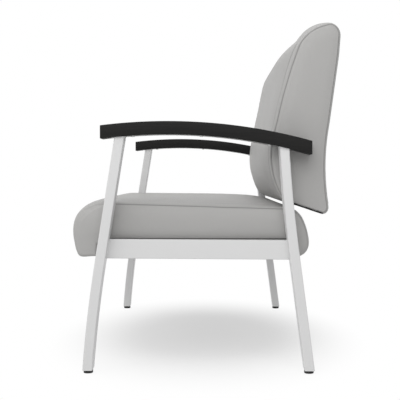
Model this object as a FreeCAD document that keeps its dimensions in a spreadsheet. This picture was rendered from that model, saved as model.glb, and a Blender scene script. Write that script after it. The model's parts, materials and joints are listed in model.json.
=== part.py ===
import FreeCAD, Part
import math
import os
import re
import Sketcher

# Waiting room loveseat: two welded side frames of rectangular tube, tied by cross rails,
# a bench seat with a waterfall front, a one-piece back and arched arm caps.
# Millimetres. +X is the sitter's left, -Y the front, +Z up; the origin is on the floor.

doc = FreeCAD.newDocument("loveseat")
sheet = doc.addObject("Spreadsheet::Sheet", "Sizes")

sizes = {
    # legs
    "frame_width": 1160,
    "leg_width": 50.8,
    "leg_depth": 25.4,
    "leg_wall": 2,
    "leg_corner": 2.5,
    "leg_bend_radius": 3400,
    "front_leg_y": -275.3,
    "front_leg_lean": 9.1,
    "front_bend_height": 290,
    "rear_leg_y": 227.5,
    "rear_leg_lean": 7.6,
    "rear_bend_height": 330,
    "foot_height": 10,
    "weld_gap": 0.2,
    # side rails
    "rail_thickness": 19,
    "rail_height": 50.8,
    "rail_wall": 1.6,
    "rail_corner": 2,
    "rail_base_height": 299.5,
    "rail_drop": 3,
    # arms
    "arm_width": 63.5,
    "arm_thickness": 34,
    "arm_front": -272.4,
    "arm_rear": 273.6,
    "arm_apex_y": -99.4,
    "arm_height": 657,
    "arm_arch_radius": 1390,
    "arm_edge": 4.5,
    "arm_bar_width": 25.4,
    "arm_bar_thickness": 4.8,
    "arm_bar_front": -246,
    "arm_bar_rear": 222,
    # levelling feet
    "plug_length": 24,
    "stud_diameter": 8,
    "stud_length": 35,
    "pad_diameter": 25,
    "pad_floor": 3,
    "clearance": 0.3,
    # under-frame
    "cross_rail_size": 38,
    "cross_rail_wall": 2,
    "cross_rail_corner": 3,
    "front_cross_y": -206,
    "rear_cross_y": 164,
    "brace_width": 25.4,
    "plate_thickness": 5,
    "plate_length": 88,
    "plate_corner": 6,
    "bolt_spread": 64,
    "bolt_diameter": 8,
    "bolt_flats": 13,
    "head_share": 0.4,
    "bolt_reach": 12,
    "fit": 0.1,
    # seat, side profile
    "seat_side_gap": 6.2,
    "seat_front": -354.4,
    "seat_nose_height": 365,
    "seat_nose_radius": 86,
    "seat_apron_radius": 130,
    "seat_toe_set": 12,
    "seat_toe_radius": 12,
    "seat_toe_width": 12.4,
    "seat_bottom": 301,
    "seat_recess_front": -288,
    "seat_recess_rear": 206,
    "seat_recess_height": 338,
    "seat_tail_start": 229,
    "seat_tail_radius": 46,
    "seat_rear_radius": 150,
    "seat_shoulder_y": 257,
    "seat_shoulder_height": 411,
    "seat_shoulder_radius": 56,
    "seat_top_rear_y": 206,
    "seat_top_rear_height": 438,
    "seat_edge_roll": 9,
    "seat_edge_band": 42,
    "seat_top_radius": 9000,
    "cover_thickness": 2,
    # seat, inside
    "board_thickness": 15,
    "board_inset": 20,
    "wood_rail_thickness": 22,
    "dust_cover_thickness": 1.2,
    "dust_cover_lap": 14,
    "seat_opening_margin": 52,
    # back, side profile
    "back_arm_gap": 2.85,
    "back_lip_y": 207,
    "back_lip_height": 450,
    "back_sole_y": 311,
    "back_sole_height": 413.5,
    "back_heel_y": 326.4,
    "back_heel_height": 432,
    "back_heel_radius": 18,
    "back_waist_radius": 640,
    "back_waist_top_y": 327.5,
    "back_waist_top_height": 653,
    "back_blade_y": 351.5,
    "back_blade_height": 830,
    "back_blade_radius": 420,
    "back_rear": 354.4,
    "back_rear_height": 882,
    "back_crest_radius": 36,
    "back_crest_y": 331,
    "back_crest_height": 916,
    "back_top_radius": 220,
    "back_brow_y": 304.6,
    "back_brow_height": 911,
    "back_brow_radius": 93,
    "back_chest_y": 238.6,
    "back_chest_height": 843,
    "back_chest_radius": 1350,
    "back_lumbar_top_y": 184.6,
    "back_lumbar_top_height": 652,
    "back_lumbar_top_radius": 310,
    "back_lumbar_y": 170.6,
    "back_lumbar_height": 560,
    "back_lumbar_radius": 208,
    "back_edge_roll": 6,
    "back_lip_crown": 11,
    "back_crest_crown": 24,
    "back_brow_crown": 28,
    "back_brow_crown_radius": 300,
    "back_chest_crown": 30,
    "back_lumbar_top_crown": 20,
    "back_lumbar_crown": 15,
    # back, inside
    "back_panel_thickness": 8,
    "back_panel_border": 10,
    "back_panel_base_height": 440,
    "back_end_thickness": 18,
    "back_end_front": 14,
    "back_end_top": 24,
    "back_end_base": 6,
    "back_foam_depth": 46,
    "back_rail_thickness": 22,
    "back_rail_height": 46,
    "spacer_diameter": 25,
    "back_bolt_drop": 53,
    "back_bolt_spread": 70,
}

for row, (name, size) in enumerate(sizes.items(), start=1):
    sheet.set(f"A{row}", name)
    sheet.set(f"B{row}", str(size))
    sheet.setAlias(f"B{row}", name)
doc.recompute()


# Expressions

def sized(text):
    # a text about sizes, as an expression on the sheet's cells
    return re.sub(r"[a-z]\w+", lambda word: "Sizes." + word[0] if word[0] in sizes else word[0], str(text))


def value(text):
    return float(sheet.evalExpression(sized(text)))


def bind(item, field, text):
    item.setExpression(field, sized(text))


# Sketches

def sketchOn(body, plane, name, offset=None):
    sketch = body.newObject("Sketcher::SketchObject", name)
    support = next(item for item in body.Origin.OriginFeatures if item.Role == plane)
    sketch.AttachmentSupport = [(support, "")]
    sketch.MapMode = "FlatFace"
    if offset is not None:
        bind(sketch, "AttachmentOffset.Base.z", offset)
    return sketch


def arcBetween(start, end, radius, turnsLeft):
    chord = end - start
    left = FreeCAD.Vector(-chord.y, chord.x, 0).normalize()
    rise = math.sqrt(radius ** 2 - (chord.Length / 2) ** 2)
    centre = start + chord / 2 + left * (rise if turnsLeft else -rise)
    first, last = (start, end) if turnsLeft else (end, start)
    angles = [math.atan2(spot.y - centre.y, spot.x - centre.x) for spot in (first, last)]
    return Part.ArcOfCircle(Part.Circle(centre, FreeCAD.Vector(0, 0, 1), radius), *angles)


def draw(sketch, corners):
    # a closed outline, counter-clockwise: each corner is (across, up) and, where the edge that
    # leaves it is an arc, "out" or "in" and the radius
    count = len(corners)
    spots = [FreeCAD.Vector(value(corner[0]), value(corner[1]), 0) for corner in corners]
    first = sketch.GeometryCount
    for number, corner in enumerate(corners):
        start, end = spots[number], spots[(number + 1) % count]
        if len(corner) == 2:
            sketch.addGeometry(Part.LineSegment(start, end))
        else:
            sketch.addGeometry(arcBetween(start, end, value(corner[3]), corner[2] == "out"))
    backwards = [len(corner) > 2 and corner[2] == "in" for corner in corners]
    for number in range(count):
        following = (number + 1) % count
        tail = 1 if backwards[number] else 2
        head = 2 if backwards[following] else 1
        sketch.addConstraint(Sketcher.Constraint("Coincident", first + number, tail, first + following, head))
    for number, corner in enumerate(corners):
        head = 2 if backwards[number] else 1
        limits = [("DistanceX", head, corner[0]), ("DistanceY", head, corner[1])]
        if len(corner) > 2:
            limits.append(("Radius", None, corner[3]))
        for kind, end, text in limits:
            where = (first + number,) if end is None else (first + number, end)
            limit = sketch.addConstraint(Sketcher.Constraint(kind, *where, value(text)))
            bind(sketch, f"Constraints[{limit}]", text)
    return sketch


def drawRing(sketch, across, up, diameter):
    middle = FreeCAD.Vector(value(across), value(up), 0)
    circle = Part.Circle(middle, FreeCAD.Vector(0, 0, 1), value(diameter) / 2)
    number = sketch.addGeometry(circle)
    limits = [("DistanceX", (number, 3), across), ("DistanceY", (number, 3), up),
              ("Diameter", (number,), diameter)]
    for kind, where, text in limits:
        limit = sketch.addConstraint(Sketcher.Constraint(kind, *where, value(text)))
        bind(sketch, f"Constraints[{limit}]", text)
    return sketch


def hexagon(across, up, flats):
    reach = f"({flats} / sqrt(3))"
    angles = range(0, 360, 60)
    return [(f"{across} + {reach} * cos({angle})", f"{up} + {reach} * sin({angle})") for angle in angles]


def block(low, high):
    (left, bottom), (right, top) = low, high
    return [(left, bottom), (right, bottom), (right, top), (left, top)]


# Features

def bodyNamed(name):
    body = doc.addObject("PartDesign::Body", name)
    body.Label = name
    return body


def pad(body, sketch, length, side="Symmetric"):
    feature = body.newObject("PartDesign::Pad", "Pad")
    feature.Profile = sketch
    feature.SideType = side
    bind(feature, "Length", length)
    return feature


def cut(body, sketch, length, side="Symmetric", reverse=False):
    # a pocket that has to take something away
    doc.recompute()
    before = body.Shape.Volume
    feature = body.newObject("PartDesign::Pocket", "Pocket")
    feature.Profile = sketch
    feature.SideType = side
    feature.Reversed = reverse
    bind(feature, "Length", length)
    doc.recompute()
    if not body.Shape.Volume < before - 1e-6:
        raise RuntimeError(f"{body.Label}: {sketch.Label} cuts nothing")
    return feature


def roundEdges(body, radius, chosen):
    doc.recompute()
    base = body.Tip
    names = [f"Edge{number}" for number, edge in enumerate(base.Shape.Edges, start=1) if chosen(edge)]
    feature = body.newObject("PartDesign::Fillet", "Fillet")
    feature.Base = (base, names)
    bind(feature, "Radius", radius)
    return feature


def revolve(body, corners):
    # half profile as (radius, height), turned about the upright axis
    sketch = draw(sketchOn(body, "XZ_Plane", "HalfProfile"), corners)
    feature = body.newObject("PartDesign::Revolution", "Revolution")
    feature.Profile = sketch
    feature.ReferenceAxis = (sketch, ["V_Axis"])
    feature.Angle = 360
    return feature


def loft(body, kind, stations):
    # stations are (place along the width, outline), from one end to the other
    sketches = [draw(sketchOn(body, "YZ_Plane", "Section", spot), outline) for spot, outline in stations]
    feature = body.newObject(f"PartDesign::{kind}", kind)
    feature.Profile = sketches[0]
    feature.Sections = sketches[1:]
    feature.Ruled = True
    feature.Refine = False
    return feature


def place(item, across=None, depth=None, height=None):
    for axis, text in (("x", across), ("y", depth), ("z", height)):
        if text is not None:
            bind(item, f".Placement.Base.{axis}", text)


def turn(item, axis, angle):
    item.Placement = FreeCAD.Placement(FreeCAD.Vector(), FreeCAD.Rotation(FreeCAD.Vector(*axis), 1))
    bind(item, ".Placement.Rotation.Angle", angle)


def group(name, items):
    compound = doc.addObject("Part::Compound", name)
    compound.Label = name
    compound.Links = items
    return compound


subParts = []
sideNames = {1: "left", -1: "right"}
legMiddle = "(frame_width / 2 - leg_width / 2)"
innerFace = "(frame_width / 2 - leg_width)"


# Legs: a straight stretch and a gentle bend, whose centre is behind the leg

class Leg:
    def __init__(self, name, lean, bendHeight, depth, straightAbove):
        self.name = name
        self.straightAbove = straightAbove
        self.way = 1 if straightAbove else -1
        self.lean = lean
        self.bendHeight = bendHeight
        self.depth = depth
        self.centreY = f"({depth} + leg_bend_radius * cos({lean}))"
        self.centreZ = f"({bendHeight} - {self.way} * leg_bend_radius * sin({lean}))"

    def bent(self, height, offset):
        # on the bend, the depth of the face that lies offset behind the middle line
        radius = f"(leg_bend_radius - ({offset}))"
        return f"({self.centreY} - sqrt({radius} ^ 2 - (({height}) - {self.centreZ}) ^ 2))"

    def straight(self, height, offset):
        # on the straight stretch, the same
        start = f"({self.bendHeight} - {self.way} * ({offset}) * sin({self.lean}))"
        climb = f"({self.way} * (({height}) - {start}) * tan({self.lean}))"
        return f"({self.depth} + ({offset}) * cos({self.lean}) + {climb})"

    def outline(self, inset, low, high):
        faces = {side: f"({side} * (leg_depth / 2 - {inset}))" for side in (-1, 1)}
        lower, upper = (self.bent, self.straight) if self.straightAbove else (self.straight, self.bent)
        lowY = {side: lower(low, faces[side]) for side in faces}
        highY = {side: upper(high, faces[side]) for side in faces}
        bendY = {side: f"({self.depth} + {faces[side]} * cos({self.lean}))" for side in faces}
        rise = f"{self.way} * sin({self.lean})"
        bendZ = {side: f"({self.bendHeight} - {faces[side]} * {rise})" for side in faces}
        arc = {side: f"(leg_bend_radius - {faces[side]})" for side in faces}
        if self.straightAbove:
            return [(lowY[-1], low), (lowY[1], low, "in", arc[1]), (bendY[1], bendZ[1]),
                    (highY[1], high), (highY[-1], high), (bendY[-1], bendZ[-1], "out", arc[-1])]
        return [(lowY[-1], low), (lowY[1], low), (bendY[1], bendZ[1], "in", arc[1]),
                (highY[1], high), (highY[-1], high, "out", arc[-1]), (bendY[-1], bendZ[-1])]

    def foot(self):
        depthAt = self.bent if self.straightAbove else self.straight
        front, rear = (depthAt("foot_height", f"{face} * leg_depth / 2") for face in (-1, 1))
        return f"(({front} + {rear}) / 2)"


frontLeg = Leg("front", "front_leg_lean", "front_bend_height", "front_leg_y", True)
rearLeg = Leg("rear", "rear_leg_lean", "rear_bend_height", "rear_leg_y", False)

archCentreZ = "(arm_height - arm_arch_radius)"
underArch = "(arm_arch_radius - arm_thickness)"
backBoltHigh = "(arm_height - arm_thickness - back_bolt_drop)"
backBoltHeights = [f"({backBoltHigh} - back_bolt_spread)", backBoltHigh]


def archHeight(depth, radius):
    return f"({archCentreZ} + sqrt(({radius}) ^ 2 - (({depth}) - arm_apex_y) ^ 2))"


def archStrip(front, rear, low, high):
    # the stretch of an arch between two radii, with upright ends
    return [(front, archHeight(front, low), "in", low), (rear, archHeight(rear, low)),
            (rear, archHeight(rear, high), "out", high), (front, archHeight(front, high))]


def makeLeg(leg, side):
    body = bodyNamed(f"{leg.name}_leg_{sideNames[side]}")
    sideView = leg.outline("0", "foot_height", "arm_height")
    pad(body, draw(sketchOn(body, "YZ_Plane", "SideView"), sideView), "leg_width")
    longest = value("leg_depth * 2")
    faceX = value("leg_width / 2")
    roundEdges(body, "leg_corner", lambda edge: edge.Length > longest and
               all(abs(abs(corner.X) - faceX) < 1e-6 for corner in edge.Vertexes))
    inside = leg.outline("leg_wall", "foot_height - leg_wall", "arm_height + leg_wall")
    cut(body, draw(sketchOn(body, "YZ_Plane", "Inside"), inside), "leg_width - 2 * leg_wall")
    over = archStrip("arm_front - arm_thickness", "arm_rear + arm_thickness",
                     f"({underArch} - weld_gap)", "arm_arch_radius + 3 * arm_thickness")
    cut(body, draw(sketchOn(body, "YZ_Plane", "UnderArm"), over), "leg_width * 2")
    if leg is rearLeg:
        for height in backBoltHeights:
            hole = sketchOn(body, "YZ_Plane", "BoltHole", f"{-side} * leg_width / 2")
            drawRing(hole, backBoltDepth(height), height, "bolt_diameter + 2 * fit")
            cut(body, hole, "leg_wall * 2")
    place(body, across=f"{side} * {legMiddle}")
    return body


def backBoltDepth(height):
    front, rear = (rearLeg.bent(height, f"{face} * leg_depth / 2") for face in (-1, 1))
    return f"(({front} + {rear}) / 2)"


def makeLegPlug(leg, side):
    body = bodyNamed(f"leg_plug_{leg.name}_{sideNames[side]}")
    inset = "leg_wall + fit"
    depthAt = leg.bent if leg.straightAbove else leg.straight
    top = "foot_height + plug_length"
    front, rear = (f"({face} * (leg_depth / 2 - ({inset})))" for face in (-1, 1))
    low = "foot_height"
    sideView = [(depthAt(low, front), low), (depthAt(low, rear), low),
                (depthAt(top, rear), top), (depthAt(top, front), top)]
    pad(body, draw(sketchOn(body, "YZ_Plane", "SideView"), sideView), f"leg_width - 2 * ({inset})")
    bore = drawRing(sketchOn(body, "XY_Plane", "Thread", "foot_height"), "0", leg.foot(),
                    "stud_diameter + 2 * clearance")
    cut(body, bore, "plug_length * 3")
    place(body, across=f"{side} * {legMiddle}")
    return body


def makeGlidePad(leg, side):
    body = bodyNamed(f"glide_pad_{leg.name}_{sideNames[side]}")
    top = "(foot_height - clearance)"
    bore = "(stud_diameter / 2 + clearance)"
    revolve(body, [("0", "0"), ("pad_diameter / 2", "0"), ("pad_diameter / 2", top), (bore, top),
                   (bore, "pad_floor"), ("0", "pad_floor")])
    place(body, f"{side} * {legMiddle}", leg.foot())
    return body


def makeGlideStud(leg, side):
    body = bodyNamed(f"glide_stud_{leg.name}_{sideNames[side]}")
    low = "(pad_floor + clearance)"
    high = f"({low} + stud_length)"
    revolve(body, [("0", low), ("stud_diameter / 2", low), ("stud_diameter / 2", high), ("0", high)])
    place(body, f"{side} * {legMiddle}", leg.foot())
    return body


def makeSideRail(side):
    body = bodyNamed(f"side_rail_{sideNames[side]}")

    def sideView(inset, reach):
        ahead = f"(leg_depth / 2 + weld_gap - {reach})"
        behind = f"(-leg_depth / 2 - weld_gap + {reach})"
        low = f"(rail_base_height + {inset})"
        high = f"(rail_base_height + rail_height - {inset})"
        return [(frontLeg.straight(low, ahead), low),
                (rearLeg.straight(f"{low} - rail_drop", behind), f"{low} - rail_drop"),
                (rearLeg.straight(f"{high} - rail_drop", behind), f"{high} - rail_drop"),
                (frontLeg.straight(high, ahead), high)]

    pad(body, draw(sketchOn(body, "YZ_Plane", "SideView"), sideView("0", "0")), "rail_thickness")
    longest = value("rail_height * 2")
    roundEdges(body, "rail_corner", lambda edge: edge.Length > longest)
    cut(body, draw(sketchOn(body, "YZ_Plane", "Inside"), sideView("rail_wall", "rail_wall")),
        "rail_thickness - 2 * rail_wall")
    for depth in crossDepths:
        for spread in (-1, 1):
            hole = sketchOn(body, "YZ_Plane", "BoltHole", f"{-side} * rail_thickness / 2")
            spot = f"({depth} + {spread} * bolt_spread / 2)"
            cut(body, drawRing(hole, spot, crossMiddle, "bolt_diameter + 2 * fit"), "rail_wall * 2")
    place(body, across=f"{side} * ({innerFace} + rail_thickness / 2)")
    return body


# Arms

def makeArmCap(side):
    body = bodyNamed(f"arm_cap_{sideNames[side]}")
    profile = archStrip("arm_front", "arm_rear", underArch, "arm_arch_radius")
    pad(body, draw(sketchOn(body, "YZ_Plane", "SideView"), profile), "arm_width")
    crown = value("arm_height - arm_thickness / 2")
    longest = value("arm_width * 2")
    ends = [value("arm_front"), value("arm_rear")]

    def rounded(edge):
        # the long top edges, and round each end apart from its foot
        if edge.Length > longest:
            return edge.BoundBox.ZMax > crown
        spot = edge.CenterOfMass
        low = min(corner.Z for corner in edge.Vertexes)
        foot = min(value(archHeight(end, underArch)) for end in ends if abs(end - spot.y) < 1)
        return edge.BoundBox.ZLength > 1 or low > foot + 1

    roundEdges(body, "arm_edge", rounded)
    groove = archStrip("arm_bar_front - clearance", "arm_bar_rear + clearance",
                       f"({underArch} - arm_thickness)", f"({underArch} + arm_bar_thickness + clearance)")
    cut(body, draw(sketchOn(body, "YZ_Plane", "Groove"), groove), "arm_bar_width + 2 * clearance")
    place(body, across=f"{side} * {legMiddle}")
    return body


def makeArmBar(side):
    body = bodyNamed(f"arm_bar_{sideNames[side]}")
    strip = archStrip("arm_bar_front", "arm_bar_rear", underArch, f"({underArch} + arm_bar_thickness)")
    pad(body, draw(sketchOn(body, "YZ_Plane", "SideView"), strip), "arm_bar_width")
    place(body, across=f"{side} * {legMiddle}")
    return body


# Under-frame

crossDepths = ["front_cross_y", "rear_cross_y"]
crossTop = "seat_recess_height"
crossMiddle = f"({crossTop} - cross_rail_size / 2)"
crossEnd = f"({innerFace} - plate_thickness)"


def makeCrossRail(name, depth):
    body = bodyNamed(name)
    half = "cross_rail_size / 2"
    low = f"({crossTop} - cross_rail_size)"
    section = block((f"{depth} - {half}", low), (f"{depth} + {half}", crossTop))
    pad(body, draw(sketchOn(body, "YZ_Plane", "Section"), section), f"2 * {crossEnd}")
    longest = value("cross_rail_size * 3")
    roundEdges(body, "cross_rail_corner", lambda edge: edge.Length > longest)
    bore = "(cross_rail_size / 2 - cross_rail_wall)"
    inside = block((f"{depth} - {bore}", f"{crossMiddle} - {bore}"),
                   (f"{depth} + {bore}", f"{crossMiddle} + {bore}"))
    cut(body, draw(sketchOn(body, "YZ_Plane", "Inside"), inside), f"2 * {crossEnd} + cross_rail_size")
    return body


def makeCentreBrace():
    body = bodyNamed("centre_brace")
    half = "cross_rail_size / 2"
    wide = "(brace_width / 2)"
    front = f"(front_cross_y + {half} + weld_gap)"
    rear = f"(rear_cross_y - {half} - weld_gap)"
    # the seat's cloth cover hangs a little below the board, so the brace is lower than the cross rails
    low = f"({crossTop} - cross_rail_size)"
    high = f"({crossTop} - 3 * dust_cover_thickness)"
    sketch = sketchOn(body, "XZ_Plane", "Section", f"-({rear})")
    pad(body, draw(sketch, block((f"-{wide}", low), (wide, high))), f"{rear} - ({front})", "One side")
    longest = value("cross_rail_size * 3")
    roundEdges(body, "cross_rail_corner", lambda edge: edge.Length > longest)
    wall = "cross_rail_wall"
    bore = block((f"-({wide} - {wall})", f"{low} + {wall}"), (f"{wide} - {wall}", f"{high} - {wall}"))
    cut(body, draw(sketchOn(body, "XZ_Plane", "Inside", f"-({rear})"), bore), f"4 * ({rear} - ({front}))")
    return body


def makeEndPlates():
    # each plate carries its two bolts, heads inside and shanks into the side rail's wall
    plates = []
    half = "plate_length / 2"
    for side in sideNames:
        for depth in crossDepths:
            body = bodyNamed("end_plate")
            low = f"({crossTop} - cross_rail_size)"
            face = block((f"{depth} - {half}", low), (f"{depth} + {half}", crossTop))
            pad(body, draw(sketchOn(body, "YZ_Plane", "Face"), face), "plate_thickness")
            thick = value("plate_thickness")
            roundEdges(body, "plate_corner", lambda edge: abs(edge.Length - thick) < 1e-6)
            for spread in (-1, 1):
                spot = f"({depth} + {spread} * bolt_spread / 2)"
                head = draw(sketchOn(body, "YZ_Plane", "Head"), hexagon(spot, crossMiddle, "bolt_flats"))
                height = "plate_thickness / 2 + bolt_flats * head_share"
                pad(body, head, height, "One side").Reversed = side > 0
                shank = drawRing(sketchOn(body, "YZ_Plane", "Shank"), spot, crossMiddle, "bolt_diameter")
                pad(body, shank, "plate_thickness / 2 + bolt_reach", "One side").Reversed = side < 0
            place(body, across=f"{side} * ({crossEnd} + plate_thickness / 2)")
            plates.append(body)
    return group("end_plates", plates)


# Seat

seatHalf = f"({innerFace} - seat_side_gap)"
seatTopFront = "(seat_nose_height + seat_nose_radius)"


def shift(spot, outward, inset):
    return f"({spot} - ({outward}) * ({inset}))"


def seatOutline(skin, roll="0"):
    # side profile of the seat, drawn in by skin all round and by roll where the edges roll over
    edge = f"({skin} + {roll})"
    noseY = "(seat_front + seat_nose_radius)"
    toeY = "(seat_front + seat_toe_set)"
    toeZ = "(seat_bottom + seat_toe_radius)"
    return [
        (f"{toeY} + seat_toe_width", shift("seat_bottom", -1, skin)),
        (shift("seat_recess_front", 1, skin), shift("seat_bottom", -1, skin)),
        (shift("seat_recess_front", 1, skin), shift("seat_recess_height", -1, skin)),
        (shift("seat_recess_rear", -1, skin), shift("seat_recess_height", -1, skin)),
        (shift("seat_recess_rear", -1, skin), shift("seat_bottom", -1, skin)),
        ("seat_tail_start", shift("seat_bottom", -1, skin), "out", f"seat_tail_radius - {skin}"),
        (shift("seat_tail_start + seat_tail_radius", 1, edge), "seat_bottom + seat_tail_radius",
         "out", f"seat_rear_radius - {edge}"),
        (shift("seat_shoulder_y", 0.9, edge), shift("seat_shoulder_height", 0.43, edge),
         "out", f"seat_shoulder_radius - {edge}"),
        ("seat_top_rear_y", shift("seat_top_rear_height", 1, edge), "out", f"seat_top_radius - {edge}"),
        (noseY, shift(seatTopFront, 1, edge), "out", f"seat_nose_radius - {edge}"),
        (shift("seat_front", -1, edge), "seat_nose_height", "out", f"seat_apron_radius - {edge}"),
        (shift(toeY, -0.9, edge), shift(toeZ, -0.43, edge), "out", "seat_toe_radius"),
    ]


# how far a sewn edge has rolled over: share of its band from the end, share of its drop
coverSteps = [(0, 1), (0.15, 0.45), (1, 0)]
foamSteps = [(0, 1), (1, 0)]


def acrossWidth(half, band, steps):
    ends = [(f"({half} - {share} * {band})", drop) for share, drop in steps]
    return [(f"-{spot}", drop) for spot, drop in ends] + ends[::-1]


def seatStations(skin, steps):
    spots = acrossWidth(f"({seatHalf} - {skin})", "seat_edge_band", steps)
    return [(spot, seatOutline(skin, f"{drop} * seat_edge_roll")) for spot, drop in spots]


boardFront = "(seat_front + seat_toe_set + seat_toe_width + board_inset)"
boardRear = "(seat_tail_start + seat_tail_radius - board_inset)"
boardLow = "(seat_recess_height + cover_thickness + clearance)"
boardHigh = f"({boardLow} + board_thickness)"
boardHalf = f"({seatHalf} - cover_thickness - board_inset)"
woodRailLow = "(seat_bottom + cover_thickness + clearance)"
frontWood = ["(seat_recess_front - cover_thickness - clearance - wood_rail_thickness)",
             "(seat_recess_front - cover_thickness - clearance)"]
rearWood = ["(seat_recess_rear + cover_thickness + clearance)",
            "(seat_recess_rear + cover_thickness + clearance + wood_rail_thickness)"]


def makeSeatCover():
    body = bodyNamed("seat_cover")
    loft(body, "AdditiveLoft", seatStations("0", coverSteps))
    loft(body, "SubtractiveLoft", seatStations("cover_thickness", coverSteps))
    half = "cross_rail_size / 2"
    low = f"(front_cross_y + {half} + seat_opening_margin / 2)"
    high = f"(rear_cross_y - {half} - seat_opening_margin / 2)"
    wide = f"({seatHalf} - seat_opening_margin)"
    opening = sketchOn(body, "XY_Plane", "Opening", "seat_recess_height")
    cut(body, draw(opening, block((f"-{wide}", low), (wide, high))), "cover_thickness * 3")
    return body


def makeSeatFoam():
    body = bodyNamed("seat_foam")
    loft(body, "AdditiveLoft", seatStations("(cover_thickness + clearance)", foamSteps))
    gap = "clearance"
    boardRoom = block((f"{boardFront} - {gap}", "seat_recess_height - board_thickness"),
                      (f"{boardRear} + {gap}", f"{boardHigh} + {gap}"))
    cut(body, draw(sketchOn(body, "YZ_Plane", "BoardRoom"), boardRoom), f"2 * ({boardHalf} + {gap})")
    for front, rear in (frontWood, rearWood):
        room = block((f"{front} - {gap}", "seat_bottom - board_thickness"),
                     (f"{rear} + {gap}", f"{boardLow} + {gap}"))
        cut(body, draw(sketchOn(body, "YZ_Plane", "WoodRoom"), room), f"2 * ({boardHalf} + {gap})")
    return body


def makeSeatBoard():
    body = bodyNamed("seat_board")
    plan = block((f"-{boardHalf}", boardFront), (boardHalf, boardRear))
    pad(body, draw(sketchOn(body, "XY_Plane", "Plan", boardLow), plan), "board_thickness", "One side")
    return body


def makeWoodRail(name, span):
    body = bodyNamed(name)
    front, rear = span
    section = block((front, woodRailLow), (rear, boardLow))
    pad(body, draw(sketchOn(body, "YZ_Plane", "Section"), section), f"2 * {boardHalf}")
    return body


def makeDustCover():
    body = bodyNamed("dust_cover")
    half = "cross_rail_size / 2"
    lap = "dust_cover_lap"
    low = f"(front_cross_y + {half} + seat_opening_margin / 2 - {lap})"
    high = f"(rear_cross_y - {half} - seat_opening_margin / 2 + {lap})"
    wide = f"({seatHalf} - seat_opening_margin + {lap})"
    sheetTop = "(seat_recess_height - dust_cover_thickness)"
    pad(body, draw(sketchOn(body, "XY_Plane", "Plan", sheetTop), block((f"-{wide}", low), (wide, high))),
        "dust_cover_thickness", "One side")
    return body


# Back

backHalf = f"({legMiddle} - arm_width / 2 - back_arm_gap)"
spacerLength = f"({innerFace} - {backHalf})"


def backOutline(skin, roll="0", crown=0):
    # side profile of the back: skin draws it in all round and roll at the front and the top,
    # which swell with the crown, nought at the ends and one in the middle
    def swollen(spot, outY, outZ):
        swell = f"({skin} + {roll} - {crown} * back_{spot}_crown)"
        return (shift(f"back_{spot}_y", outY, swell), shift(f"back_{spot}_height", outZ, swell))

    def plain(y, z, outY, outZ):
        return (shift(y, outY, skin), shift(z, outZ, skin))

    edge = f"({skin} + {roll})"
    brow = f"(back_brow_radius + {crown} * (back_brow_crown_radius - back_brow_radius) - {edge})"

    return [
        swollen("lip", -0.9, 0),
        (*plain("back_sole_y", "back_sole_height", -0.27, -0.96), "out", "back_heel_radius"),
        (*plain("back_heel_y", "back_heel_height", 1, 0), "in", f"back_waist_radius + {skin}"),
        plain("back_waist_top_y", "back_waist_top_height", 0.99, -0.14),
        (*plain("back_blade_y", "back_blade_height", 0.99, -0.14), "out", f"back_blade_radius - {skin}"),
        (*plain("back_rear", "back_rear_height", 1, 0),
         "out", f"back_crest_radius - {skin} + 2 * {crown} * back_crest_crown"),
        (*swollen("crest", 0, 1), "out", f"back_top_radius - {edge}"),
        (*swollen("brow", -0.3, 0.95), "out", brow),
        (*swollen("chest", -0.95, 0.3), "out", f"back_chest_radius - {edge}"),
        (*swollen("lumbar_top", -0.96, 0.27), "out", f"back_lumbar_top_radius - {edge}"),
        (*swollen("lumbar", -1, 0), "out", f"back_lumbar_radius - {edge}"),
    ]


# stations of the back as shares of its half width, with the share of the crown reached there
backCoverSteps = [(1, 0), (0.93, 0.32), (0.7, 1)]
backFoamSteps = [(1, 0), (0.7, 1)]


def backStations(skin, steps):
    half = f"({backHalf} - {skin})"
    ends = [(f"({share} * {half})", crown) for share, crown in steps]
    spots = [(f"-{spot}", crown) for spot, crown in ends] + ends[::-1]
    return [(spot, backOutline(skin, "0" if crown else "back_edge_roll", crown)) for spot, crown in spots]


def backStrip(near, far, low, high):
    # the stretch of the rear face between two depths inside it and two heights
    def face(inset):
        return [
            (shift("back_heel_y", 1, inset), low),
            (shift("back_waist_top_y", 0.99, inset), "back_waist_top_height"),
            (shift("back_blade_y", 0.99, inset), "back_blade_height"),
            (shift("back_rear", 1, inset), high),
        ]

    outer = face(near)
    inner = face(far)
    return [
        (*outer[0], "in", f"back_waist_radius + {near}"), outer[1],
        (*outer[2], "out", f"back_blade_radius - {near}"), outer[3],
        (*inner[3], "in", f"back_blade_radius - {far}"), inner[2],
        (*inner[1], "out", f"back_waist_radius + {far}"), inner[0],
    ]


def backEndOutline(grow="0"):
    # plywood end: close to the lumbar swell, further inside towards the top
    front = f"(back_end_front - {grow})"
    top = f"(back_end_top - {grow})"
    rear = f"(back_panel_thickness + clearance - {grow})"
    base = f"(back_end_base - {grow})"
    return [
        (shift("back_lip_y", -0.6, front), shift("back_lip_height", -0.7, base)),
        (shift("back_sole_y", 0.3, rear), shift("back_sole_height", -2, base)),
        (shift("back_heel_y", 1, rear), "back_heel_height + back_end_base",
         "in", f"back_waist_radius + {rear}"),
        (shift("back_waist_top_y", 0.99, rear), "back_waist_top_height"),
        (shift("back_blade_y", 0.99, rear), "back_blade_height"),
        (shift("back_crest_y", 0, top), shift("back_crest_height", 2, top)),
        (shift("back_brow_y", 0, top), shift("back_brow_height", 2, top)),
        (shift("back_chest_y", -1.5, top), shift("back_chest_height", 0.3, top), "out", "back_chest_radius"),
        (shift("back_lumbar_top_y", -1.4, front), "back_lumbar_top_height", "out", "back_lumbar_top_radius"),
        (shift("back_lumbar_y", -1, front), "back_lumbar_height", "out", "back_lumbar_radius"),
    ]


endInner = f"({backHalf} - cover_thickness - clearance - back_end_thickness)"


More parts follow.
